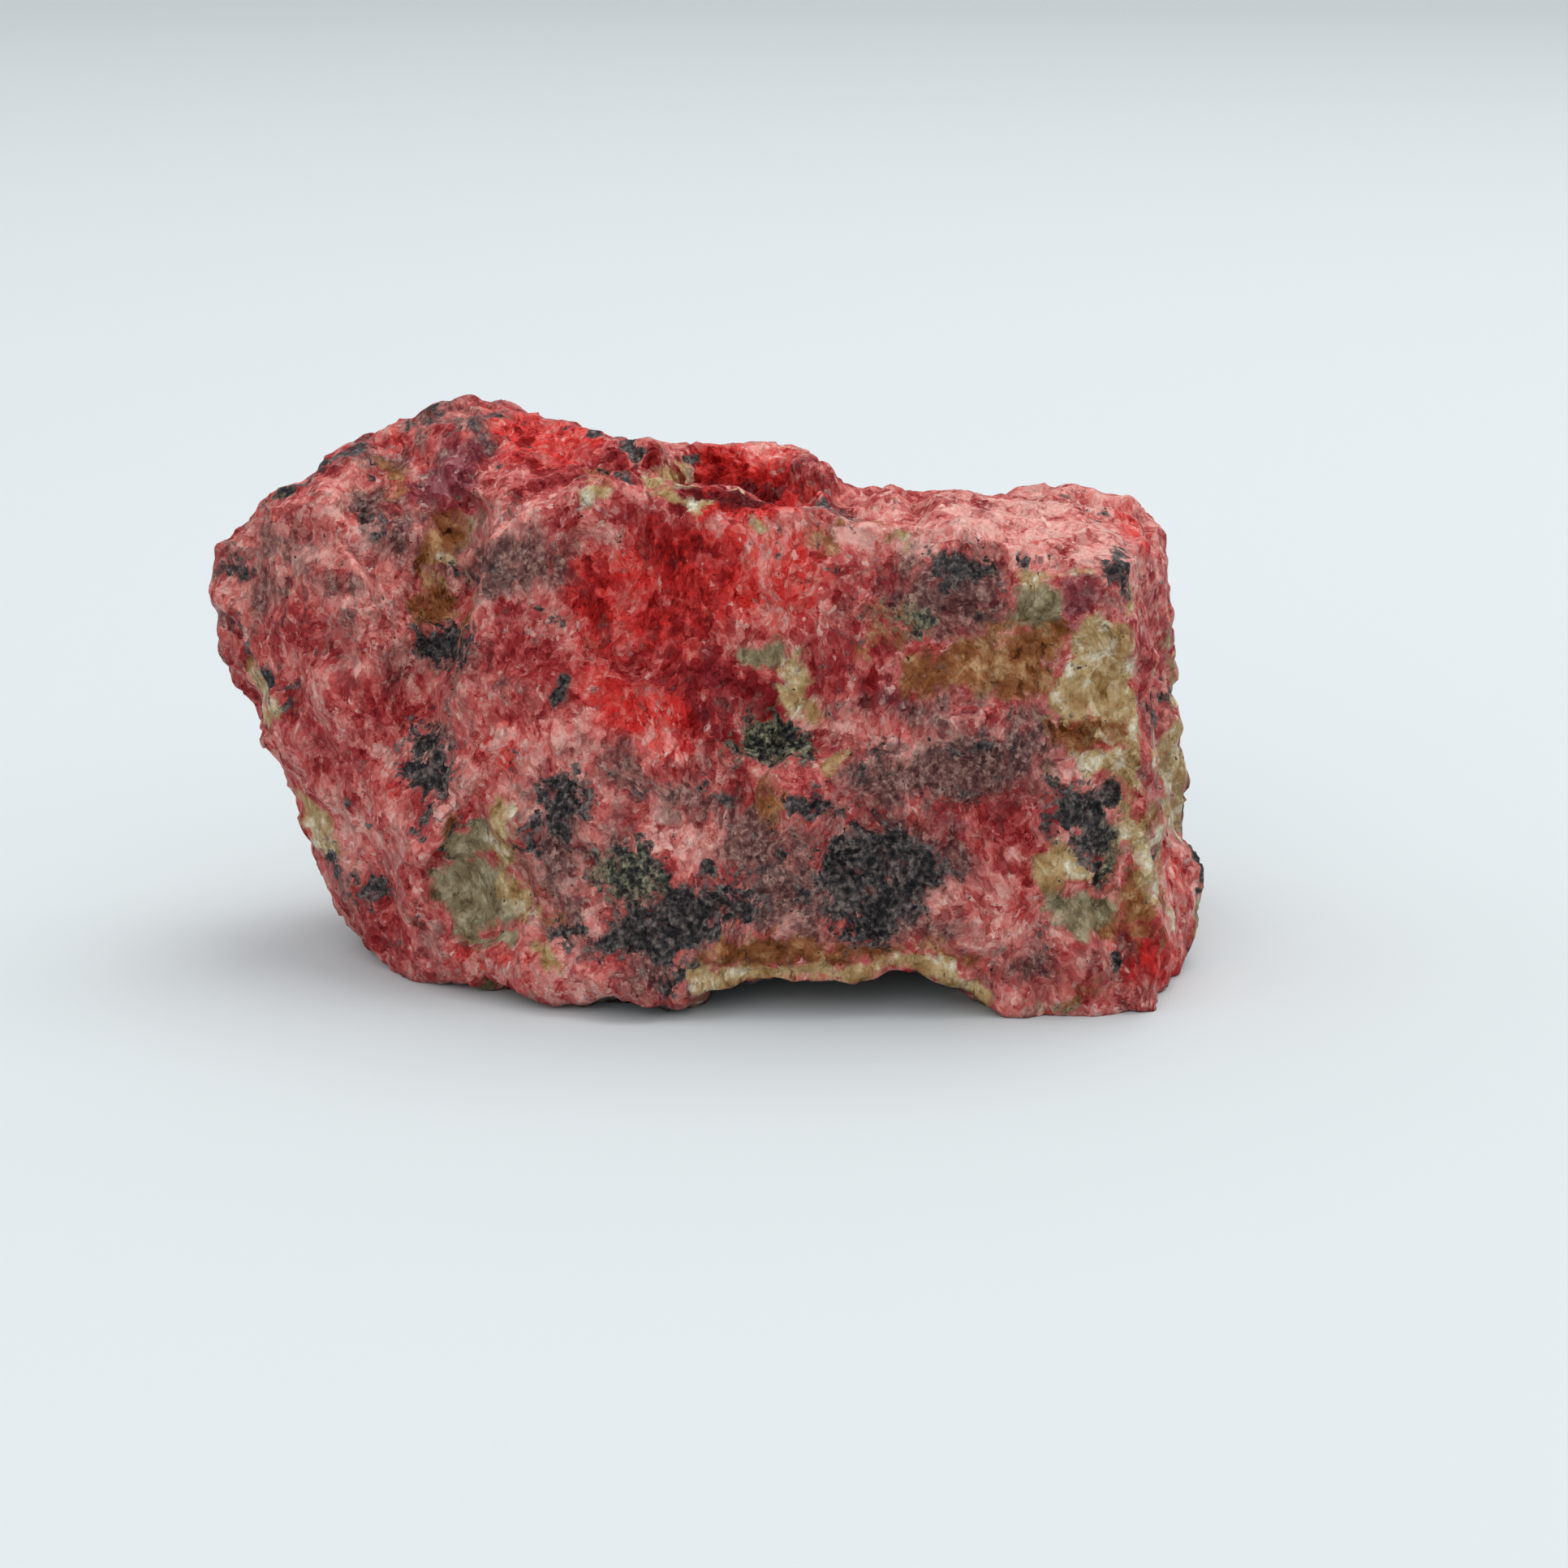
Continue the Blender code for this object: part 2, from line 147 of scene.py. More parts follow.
# Where the display side's relief and its minerals give way, as (start, length): how squarely the
# surface faces the eye where they start to show, and how much more squarely it faces the eye
# where they show in full.
RELIEF_FADE = (-0.4, 0.3)
MINERAL_FADE = (-0.12, 0.3)
# Rounds of evening out the normals that the surface is moved along.
NORMAL_ROUNDS = 8

# ---------------------------------------------------------------------------------------
# Minerals, and some painted light and shade, on the display side. An area is (outline,
# strength) and a stroke is (line, half width, strength); where they overlap, the stronger counts.
AREAS = {
    "manganese": [
        ([(505, 885), (535, 890), (550, 920), (545, 960), (530, 1010), (515, 1000), (510, 960),
          (495, 930)], 0.9),
        ([(264, 694), (284, 688), (303, 690), (303, 700), (316, 703), (314, 712), (275, 713),
          (262, 707)], 1.1),
        ([(505, 512), (530, 499), (545, 496), (532, 515), (514, 528)], 0.75),
        ([(574, 508), (590, 500), (604, 505), (600, 532), (578, 530)], 0.7),
        ([(440, 620), (462, 622), (484, 642), (478, 668), (442, 654)], 0.75),
        ([(564, 700), (606, 698), (606, 720), (580, 730)], 0.65),
        ([(511, 770), (540, 768), (570, 776), (573, 798), (560, 824), (538, 812), (515, 800)], 1.3),
        ([(262, 752), (286, 764), (298, 800), (328, 832), (352, 852), (354, 870), (336, 862),
          (300, 832)], 1.0),
        ([(505, 884), (524, 882), (536, 902), (524, 930), (512, 940), (490, 932), (500, 905)], 0.75),
        ([(494, 918), (508, 922), (524, 944), (553, 958), (552, 976), (536, 996), (518, 1012), (512, 1004),
          (522, 982), (506, 954), (490, 936)], 1.15),
        ([(425, 1086), (440, 1076), (452, 1090), (464, 1110), (455, 1119), (440, 1105), (424, 1098)], 0.95),
        ([(665, 972), (690, 955), (706, 944), (716, 952), (722, 986), (719, 1000), (706, 1020), (699, 1046),
          (680, 1036), (656, 1018), (668, 1000)], 0.9),
        ([(640, 1024), (652, 1030), (670, 1062), (654, 1056), (640, 1044)], 1.2),
        ([(724, 1056), (745, 1046), (760, 1036), (786, 1035), (812, 1056), (826, 1076), (828, 1098),
          (790, 1108), (758, 1114), (735, 1100)], 0.95),
        ([(750, 1130), (765, 1112), (800, 1100), (850, 1092), (898, 1086), (905, 1075), (930, 1064),
          (952, 1060), (955, 1072), (940, 1090), (946, 1116), (925, 1136), (900, 1146), (882, 1156),
          (852, 1176), (835, 1188), (800, 1186), (770, 1174), (722, 1168), (732, 1150)], 0.92),
        ([(790, 1104), (850, 1098), (876, 1112), (850, 1132), (810, 1130)], 1.2),
        ([(1005, 1050), (1020, 1036), (1045, 1026), (1060, 1010), (1082, 1010), (1100, 1022), (1132, 1030),
          (1152, 1046), (1160, 1062), (1190, 1084), (1160, 1090), (1146, 1100), (1150, 1114), (1130, 1130),
          (1100, 1150), (1096, 1170), (1070, 1170), (1040, 1160), (1020, 1140), (1010, 1110),
          (1002, 1080)], 0.95),
        ([(1044, 1112), (1080, 1096), (1130, 1100), (1148, 1116), (1118, 1136), (1094, 1166),
          (1060, 1150)], 1.3),
        ([(968, 1096), (985, 1088), (1001, 1096), (996, 1116), (974, 1118)], 1.0),
        ([(900, 905), (912, 892), (935, 884), (960, 885), (985, 895), (1000, 910), (1000, 925), (985, 938),
          (965, 935), (940, 940), (915, 935), (897, 922)], 1.1),
        ([(971, 990), (990, 982), (1006, 983), (1032, 1000), (1005, 1003), (980, 1001)], 1.25),
        ([(940, 1035), (955, 1034), (976, 1050), (968, 1062), (952, 1056)], 0.75),
        ([(683, 1146), (698, 1137), (714, 1145), (704, 1157)], 1.3),
        ([(805, 1200), (850, 1185), (864, 1184), (846, 1206), (815, 1232), (800, 1232)], 0.7),
        ([(1062, 926), (1080, 921), (1086, 940), (1070, 946)], 0.75),
        ([(1228, 932), (1245, 930), (1249, 945), (1232, 949)], 0.9),
        ([(1290, 966), (1312, 962), (1336, 968), (1342, 978), (1376, 974), (1393, 978), (1390, 990),
          (1368, 1002), (1380, 1022), (1370, 1046), (1362, 1062), (1372, 1082), (1364, 1096), (1350, 1090),
          (1346, 1062), (1330, 1046), (1320, 1022), (1305, 1010), (1290, 1016), (1287, 1000),
          (1301, 990)], 1.1),
        ([(1150, 680), (1185, 684), (1206, 690), (1227, 706), (1222, 728), (1190, 726), (1160, 722)], 0.95),
        ([(1102, 744), (1130, 742), (1148, 760), (1144, 782), (1122, 776), (1108, 760)], 0.85),
        ([(1362, 692), (1380, 680), (1392, 690), (1392, 728), (1380, 722), (1362, 712)], 1.25),
        ([(1262, 680), (1278, 677), (1282, 688), (1264, 691)], 0.9),
        ([(1423, 852), (1430, 840), (1450, 848), (1446, 872), (1430, 866)], 0.9),
        ([(1185, 745), (1215, 740), (1226, 770), (1210, 788), (1194, 775)], 0.5),
        ([(545, 1020), (558, 1010), (574, 1018), (566, 1034), (550, 1034)], 0.9),
    ],
    "ash": [
        ([(275, 640), (330, 608), (385, 640), (375, 760), (300, 775), (276, 700)], 0.55),
        ([(390, 572), (470, 530), (545, 538), (510, 585), (420, 602)], 0.5),
        ([(640, 1010), (700, 1020), (745, 1060), (740, 1110), (700, 1140), (640, 1120)], 0.75),
        ([(690, 920), (770, 925), (775, 1000), (700, 1010)], 0.55),
        ([(925, 1060), (1010, 1060), (1030, 1150), (970, 1170), (925, 1130)], 1.1),
        ([(1080, 1110), (1160, 1110), (1170, 1172), (1090, 1178)], 0.9),
        ([(760, 1165), (860, 1172), (870, 1226), (770, 1226)], 0.9),
        ([(1160, 760), (1240, 750), (1250, 810), (1170, 820)], 0.4),
        ([(1140, 850), (1210, 850), (1210, 885), (1140, 890)], 0.7),
        ([(725, 990), (775, 990), (775, 1120), (730, 1120)], 0.8),
        ([(560, 664), (600, 654), (660, 664), (698, 680), (680, 714), (600, 732), (574, 736),
          (554, 724)], 0.95),
        ([(424, 596), (466, 592), (514, 640), (505, 700), (480, 700), (436, 660)], 0.85),
        ([(370, 690), (440, 700), (500, 760), (470, 790), (400, 770)], 0.5),
        ([(500, 500), (560, 488), (606, 496), (606, 545), (560, 530), (506, 535)], 0.7),
        ([(560, 796), (590, 800), (600, 835), (560, 850), (500, 830), (480, 800)], 0.5),
        ([(530, 880), (556, 890), (560, 940), (540, 950), (520, 930)], 0.7),
        ([(650, 960), (730, 950), (760, 1000), (720, 1090), (655, 1085), (650, 1020)], 0.65),
        ([(750, 950), (860, 950), (940, 970), (930, 1020), (860, 1030), (800, 985), (760, 1000)], 0.65),
        ([(850, 985), (935, 1000), (990, 1040), (955, 1090), (850, 1070), (870, 1020)], 0.85),
        ([(700, 880), (740, 900), (860, 940), (900, 960), (760, 950), (700, 930)], 0.4),
        ([(1020, 840), (1080, 860), (1100, 900), (1040, 900)], 0.5),
        ([(940, 1095), (1005, 1080), (1010, 1130), (960, 1150)], 0.6),
        ([(715, 1130), (900, 1075), (960, 1110), (860, 1195), (720, 1180)], 0.65),
        ([(990, 1040), (1060, 990), (1150, 1000), (1215, 1060), (1195, 1095), (1120, 1160),
          (1010, 1130)], 0.7),
        ([(1040, 950), (1110, 915), (1210, 895), (1290, 860), (1300, 930), (1270, 970), (1200, 985),
          (1100, 990)], 1.0),
        ([(1060, 890), (1110, 850), (1200, 850), (1190, 880), (1130, 910)], 0.65),
        ([(1140, 672), (1240, 690), (1250, 730), (1200, 800), (1160, 780), (1050, 770), (1060, 730)], 0.85),
        ([(1160, 1150), (1260, 1156), (1400, 1165), (1400, 1225), (1240, 1235), (1180, 1200)], 0.5),
        ([(1290, 690), (1360, 700), (1370, 760), (1300, 770)], 0.5),
        ([(880, 1150), (1040, 1150), (1180, 1165), (1190, 1215), (1160, 1180), (870, 1180)], 0.4),
        ([(335, 850), (395, 880), (400, 920), (350, 890)], 0.5),
        ([(410, 1080), (480, 1080), (500, 1120), (440, 1130)], 0.55),
        ([(490, 1130), (560, 1140), (555, 1190), (500, 1180)], 0.6),
        ([(380, 780), (460, 790), (450, 840), (390, 830)], 0.35),
        ([(1000, 560), (1040, 590), (1040, 630), (1010, 610)], 0.75),
        ([(1420, 860), (1440, 870), (1436, 980), (1424, 960)], 0.6),
    ],
    "ochre": [
        ([(1302, 770), (1345, 765), (1350, 850), (1305, 860)], 0.5),
        ([(1060, 735), (1112, 735), (1122, 812), (1062, 815)], 0.55),
        ([(540, 640), (560, 636), (580, 654), (562, 662), (550, 680), (545, 700), (522, 694),
          (526, 668)], 1.1),
        ([(515, 700), (538, 705), (546, 722), (553, 764), (530, 766), (510, 760), (510, 730)], 1.0),
        ([(463, 568), (486, 570), (502, 602), (490, 622), (472, 604)], 0.7),
        ([(720, 592), (746, 587), (750, 600), (724, 604)], 1.2),
        ([(612, 1008), (632, 1008), (637, 1062), (626, 1076), (610, 1060)], 0.5),
        ([(1092, 802), (1152, 798), (1162, 835), (1148, 858), (1106, 848)], 1.05),
        ([(1155, 792), (1240, 772), (1310, 766), (1308, 800), (1300, 850), (1264, 852), (1236, 842),
          (1200, 850), (1158, 842)], 0.95),
        ([(1234, 832), (1250, 822), (1254, 850), (1238, 852)], 1.3),
        ([(1290, 892), (1322, 884), (1362, 878), (1382, 888), (1374, 908), (1330, 922), (1294, 918)], 1.2),
        ([(1403, 975), (1420, 1000), (1427, 1032), (1415, 1024), (1404, 996)], 0.9),
        ([(1384, 1080), (1405, 1068), (1416, 1100), (1427, 1132), (1400, 1152), (1378, 1112)], 0.9),
        ([(1350, 1150), (1396, 1136), (1440, 1164), (1418, 1172), (1390, 1158)], 0.75),
        ([(862, 1186), (900, 1162), (960, 1150), (1010, 1156), (1040, 1170), (1100, 1172), (1130, 1164),
          (1182, 1170), (1190, 1184), (1100, 1186), (1040, 1196), (900, 1198)], 0.95),
        ([(985, 656), (1010, 652), (1032, 666), (1030, 690), (1006, 696), (990, 676)], 0.8),
        ([(930, 955), (960, 960), (966, 985), (956, 1016), (936, 1010), (930, 985)], 0.6),
        ([(1305, 1210), (1360, 1212), (1366, 1226), (1312, 1232)], 0.8),
        ([(1180, 1170), (1206, 1170), (1216, 1210), (1196, 1206)], 0.7),
        ([(640, 1060), (662, 1070), (690, 1140), (676, 1150), (650, 1110)], 0.6),
    ],
    "smoky": [
        ([(1355, 1040), (1395, 1040), (1395, 1085), (1360, 1085)], 0.7),
        ([(556, 1076), (590, 1060), (626, 1074), (622, 1100), (640, 1130), (600, 1142), (560, 1128),
          (534, 1106), (538, 1080)], 1.15),
        ([(540, 1036), (566, 1028), (602, 1010), (610, 1050), (572, 1066), (545, 1062)], 0.9),
        ([(560, 1140), (620, 1148), (652, 1160), (600, 1168), (562, 1158)], 0.8),
        ([(893, 802), (910, 788), (955, 794), (966, 806), (945, 822), (905, 814)], 1.1),
        ([(1252, 722), (1290, 714), (1302, 730), (1296, 766), (1280, 786), (1258, 770), (1248, 745)], 1.1),
        ([(1200, 806), (1240, 806), (1242, 848), (1202, 855)], 0.9),
        ([(1058, 752), (1075, 742), (1106, 738), (1150, 750), (1146, 784), (1110, 792), (1078, 780)], 0.6),
        ([(1282, 880), (1302, 884), (1300, 950), (1288, 950)], 0.8),
        ([(1284, 1092), (1330, 1094), (1384, 1108), (1372, 1140), (1330, 1162), (1308, 1150),
          (1290, 1122)], 1.0),
        ([(1440, 760), (1454, 776), (1462, 860), (1466, 960), (1472, 1050), (1446, 1036), (1430, 990),
          (1446, 920), (1448, 850)], 1.15),
        ([(1244, 1226), (1330, 1234), (1300, 1246), (1258, 1242)], 0.8),
        ([(724, 1056), (786, 1035), (828, 1098), (740, 1110)], 0.5),
        ([(897, 925), (912, 890), (960, 884), (1000, 912), (985, 938), (940, 940)], 0.6),
        ([(1366, 1000), (1396, 996), (1398, 1060), (1374, 1084)], 0.7),
        ([(560, 640), (590, 636), (588, 662), (560, 668)], 0.6),
        ([(300, 600), (330, 604), (296, 660), (286, 660)], 0.4),
    ],
    "milky": [
        ([(1378, 918), (1396, 915), (1404, 960), (1410, 1010), (1396, 1010), (1386, 965)], 1.0),
        ([(1290, 890), (1322, 880), (1384, 884), (1380, 912), (1330, 922), (1294, 918)], 0.45),
        ([(606, 1005), (636, 1008), (640, 1065), (622, 1078), (606, 1050)], 0.7),
        ([(1450, 790), (1464, 820), (1470, 880), (1476, 1040), (1446, 1030), (1432, 930)], 1.3),
        ([(704, 608), (724, 602), (748, 612), (722, 624), (708, 618)], 1.0),
        ([(788, 576), (820, 568), (852, 576), (850, 592), (830, 600), (800, 590)], 0.95),
        ([(804, 606), (830, 600), (844, 608), (815, 614)], 1.2),
        ([(848, 612), (865, 610), (878, 621), (858, 624)], 1.2),
        ([(602, 996), (630, 988), (637, 1010), (610, 1018)], 1.0),
        ([(612, 1062), (636, 1080), (656, 1112), (664, 1150), (640, 1134), (622, 1104)], 0.85),
        ([(648, 1154), (674, 1153), (694, 1172), (716, 1190), (680, 1184), (656, 1170)], 1.1),
        ([(953, 818), (974, 798), (987, 800), (992, 858), (1003, 882), (976, 884), (955, 850)], 1.05),
        ([(1314, 790), (1340, 768), (1386, 774), (1396, 830), (1396, 872), (1380, 886), (1340, 880),
          (1318, 892), (1298, 862), (1320, 830)], 1.2),
        ([(1322, 930), (1360, 918), (1388, 922), (1384, 942), (1340, 947)], 1.25),
        ([(1364, 940), (1396, 944), (1396, 970), (1370, 966)], 1.0),
        ([(1386, 880), (1398, 878), (1402, 940), (1402, 1000), (1417, 1040), (1428, 1104), (1414, 1100),
          (1398, 1060), (1386, 1040), (1386, 1000), (1394, 985), (1388, 940)], 1.15),
        ([(1274, 1050), (1310, 1034), (1342, 1054), (1347, 1082), (1300, 1094), (1278, 1078)], 1.05),
        ([(846, 1198), (900, 1196), (960, 1204), (1000, 1196), (1040, 1201), (1100, 1188), (1140, 1183),
          (1182, 1186), (1194, 1214), (1218, 1234), (1212, 1244), (1188, 1236), (1150, 1202), (1104, 1196),
          (1060, 1214), (1000, 1207), (940, 1222), (858, 1218)], 1.2),
        ([(998, 952), (1014, 940), (1042, 928), (1042, 944), (1010, 957)], 1.0),
        ([(296, 830), (310, 840), (322, 856), (336, 876), (324, 882), (306, 870)], 1.3),
        ([(358, 968), (374, 984), (388, 1006), (410, 1040), (412, 1052), (390, 1046), (376, 1010)], 1.3),
        ([(1104, 650), (1126, 654), (1122, 670), (1104, 669)], 0.7),
        ([(1255, 706), (1300, 702), (1348, 704), (1348, 711), (1290, 714), (1255, 714)], 1.0),
    ],
    "deep": [
        ([(610, 545), (700, 560), (720, 600), (640, 610)], 0.4),
        ([(545, 530), (610, 500), (620, 540), (575, 590)], 0.5),
        ([(790, 645), (856, 648), (905, 700), (900, 762), (872, 795), (846, 762), (796, 705)], 0.75),
        ([(700, 700), (764, 690), (806, 720), (850, 760), (884, 772), (862, 802), (800, 818), (740, 800),
          (696, 770)], 0.5),
        ([(812, 832), (848, 814), (872, 802), (904, 820), (908, 852), (870, 852), (830, 846)], 0.9),
        ([(850, 852), (880, 852), (907, 872), (902, 902), (880, 912), (854, 892)], 0.7),
        ([(905, 828), (922, 818), (950, 824), (962, 845), (956, 872), (945, 884), (926, 872),
          (905, 862)], 1.0),
        ([(926, 858), (945, 850), (958, 860), (954, 880), (934, 882)], 1.9),
        # Painted shade: the hollow under the dome is painted deepest red for its shadow.
        ([(856, 592), (900, 588), (968, 590), (966, 616), (920, 632), (880, 628), (854, 612)], 2.2),
        ([(1000, 808), (1042, 814), (1062, 840), (1040, 862), (1008, 850)], 0.9),
        ([(1006, 778), (1060, 778), (1064, 802), (1018, 800)], 0.8),
        ([(1040, 690), (1104, 698), (1084, 742), (1050, 752), (1028, 722)], 0.5),
        ([(620, 740), (660, 760), (660, 860), (630, 880), (610, 800)], 0.6),
        ([(300, 750), (370, 740), (400, 790), (340, 800), (308, 790)], 0.5),
        ([(440, 850), (500, 850), (480, 900), (440, 890)], 0.5),
        ([(360, 860), (440, 930), (420, 960), (370, 930)], 0.35),
        ([(1190, 940), (1260, 960), (1290, 1010), (1270, 1040), (1200, 1000), (1150, 1000)], 0.6),
        ([(1395, 740), (1430, 760), (1440, 820), (1420, 850), (1400, 830)], 0.3),
        ([(1385, 1160), (1410, 1156), (1420, 1190), (1395, 1190)], 0.9),
        ([(1245, 1095), (1275, 1095), (1276, 1120), (1250, 1120)], 0.6),
        ([(730, 560), (784, 562), (782, 590), (740, 586)], 0.6),
        ([(440, 1060), (500, 1080), (500, 1160), (460, 1150), (440, 1110)], 0.4),
        ([(590, 520), (640, 516), (650, 545), (600, 552)], 0.7),
        ([(640, 790), (700, 790), (700, 830), (650, 840)], 0.6),
    ],
    "vivid": [
        ([(1330, 1160), (1395, 1165), (1390, 1205), (1335, 1205)], 0.5),
        ([(860, 632), (1010, 645), (1030, 760), (950, 785), (880, 750), (850, 690)], 0.75),
        ([(690, 690), (790, 645), (870, 700), (880, 790), (780, 815), (700, 780)], 0.65),
        ([(862, 600), (990, 600), (980, 628), (920, 636), (872, 632)], 1.3),
        ([(592, 502), (612, 490), (640, 495), (690, 510), (740, 530), (764, 544), (704, 562), (690, 576),
          (640, 562), (600, 556)], 1.0),
        ([(860, 562), (880, 553), (922, 551), (964, 560), (968, 582), (960, 612), (880, 618),
          (862, 600)], 1.25),
        ([(895, 650), (930, 652), (985, 660), (1002, 680), (985, 697), (940, 692), (900, 682)], 1.1),
        ([(898, 630), (942, 632), (946, 642), (903, 642)], 1.0),
        ([(716, 828), (745, 826), (800, 848), (818, 858), (842, 858), (852, 892), (820, 902), (778, 906),
          (738, 882), (708, 850)], 1.2),
        ([(760, 900), (850, 895), (862, 930), (800, 945), (770, 925)], 0.75),
        ([(790, 640), (900, 640), (900, 790), (850, 800), (780, 700)], 0.6),
        ([(700, 760), (880, 775), (860, 850), (760, 830)], 0.45),
        ([(610, 900), (640, 895), (634, 940), (612, 935)], 0.9),
        ([(480, 960), (500, 962), (492, 985), (478, 980)], 0.9),
        ([(552, 1178), (600, 1172), (650, 1184), (600, 1196), (556, 1192)], 0.9),
        ([(1365, 630), (1395, 612), (1420, 640), (1425, 680), (1395, 668)], 0.8),
        ([(1390, 1150), (1440, 1160), (1460, 1190), (1430, 1215), (1394, 1190)], 0.85),
        ([(1424, 1040), (1460, 1040), (1478, 1075), (1466, 1110), (1440, 1110), (1420, 1070)], 0.65),
        ([(470, 540), (500, 520), (500, 560), (475, 570)], 0.6),
        ([(1394, 870), (1420, 850), (1422, 960), (1404, 960)], 0.6),
        ([(1240, 1060), (1280, 1060), (1280, 1140), (1230, 1150)], 0.45),
        ([(560, 1000), (640, 920), (632, 960), (590, 1000)], 0.5),
    ],
    "wine": [
        ([(545, 552), (600, 530), (612, 545), (592, 580), (582, 610), (570, 628), (548, 632), (518, 622),
          (508, 600), (530, 578)], 1.05),
        ([(1303, 714), (1345, 712), (1355, 740), (1332, 772), (1302, 766), (1294, 735)], 1.0),
        ([(1080, 836), (1112, 850), (1120, 884), (1092, 872)], 0.8),
        ([(850, 866), (876, 880), (890, 910), (860, 896)], 0.8),
        ([(470, 800), (520, 820), (520, 860), (470, 850)], 0.5),
        ([(1200, 622), (1222, 626), (1220, 638), (1202, 640)], 0.8),
        ([(1160, 990), (1195, 1010), (1180, 1030), (1156, 1004)], 0.7),
        ([(1200, 890), (1280, 880), (1290, 940), (1240, 960), (1200, 930)], 0.45),
        ([(860, 790), (905, 830), (900, 860), (850, 850)], 0.4),
        ([(1000, 560), (975, 560), (1000, 610), (1030, 620)], 0.4),
    ],
    "pale": [
        # Painted light: the top shelf, which faces the lamp overhead, painted paler.
        ([(900, 618), (1035, 614), (1035, 648), (905, 650)], 0.7),
        ([(1424, 1040), (1460, 1040), (1478, 1075), (1466, 1130), (1430, 1120)], 0.5),
        ([(1395, 740), (1432, 740), (1440, 860), (1400, 860)], 0.5),
        # Painted light: the top shelf, which faces the lamp overhead, painted paler.
        ([(880, 640), (950, 622), (1050, 620), (1200, 606), (1300, 604), (1370, 620), (1396, 660),
          (1390, 690), (1350, 700), (1250, 696), (1160, 668), (1060, 668), (1000, 656)], 1.0),
        ([(960, 700), (1000, 700), (1040, 760), (1000, 790), (960, 770)], 0.2),
        ([(642, 880), (720, 885), (740, 930), (700, 945), (660, 960), (642, 1000)], 0.8),
        ([(590, 640), (640, 626), (680, 620), (660, 655), (600, 655)], 0.9),
        ([(550, 735), (620, 712), (680, 720), (640, 750), (570, 760)], 0.7),
        # Painted light: the lit ridge lines of the wing's slanting planes, painted paler.
        ([(365, 650), (395, 650), (410, 740), (380, 720)], 0.8),
        ([(420, 690), (450, 690), (478, 740), (470, 750), (430, 720)], 0.8),
        ([(435, 750), (520, 760), (500, 800), (440, 800)], 0.8),
        ([(256, 700), (330, 720), (300, 800), (270, 760)], 0.5),
        ([(310, 612), (350, 604), (300, 668), (262, 690), (270, 668)], 0.8),
        ([(672, 1092), (700, 1080), (735, 1098), (740, 1130), (700, 1140), (666, 1120)], 0.9),
        ([(790, 1020), (850, 1020), (872, 1060), (880, 1080), (850, 1090), (820, 1060)], 0.8),
        ([(1150, 1090), (1210, 1100), (1290, 1140), (1270, 1155), (1200, 1140), (1150, 1110)], 0.9),
        ([(1110, 1130), (1150, 1124), (1200, 1150), (1150, 1160), (1112, 1150)], 0.7),
        ([(1278, 946), (1320, 938), (1336, 962), (1300, 965)], 1.2),
        ([(980, 1045), (1005, 1045), (990, 1080), (960, 1100), (950, 1130), (940, 1080)], 0.9),
        ([(555, 1180), (700, 1190), (800, 1220), (790, 1240), (700, 1225), (580, 1200)], 0.6),
        ([(400, 990), (470, 990), (500, 1060), (420, 1060)], 0.6),
        ([(1395, 680), (1405, 680), (1420, 860), (1400, 900)], 0.5),
        ([(1000, 880), (1060, 890), (1040, 930), (1000, 920)], 0.6),
        ([(660, 960), (640, 960), (620, 990), (640, 1000)], 0.5),
    ],
}
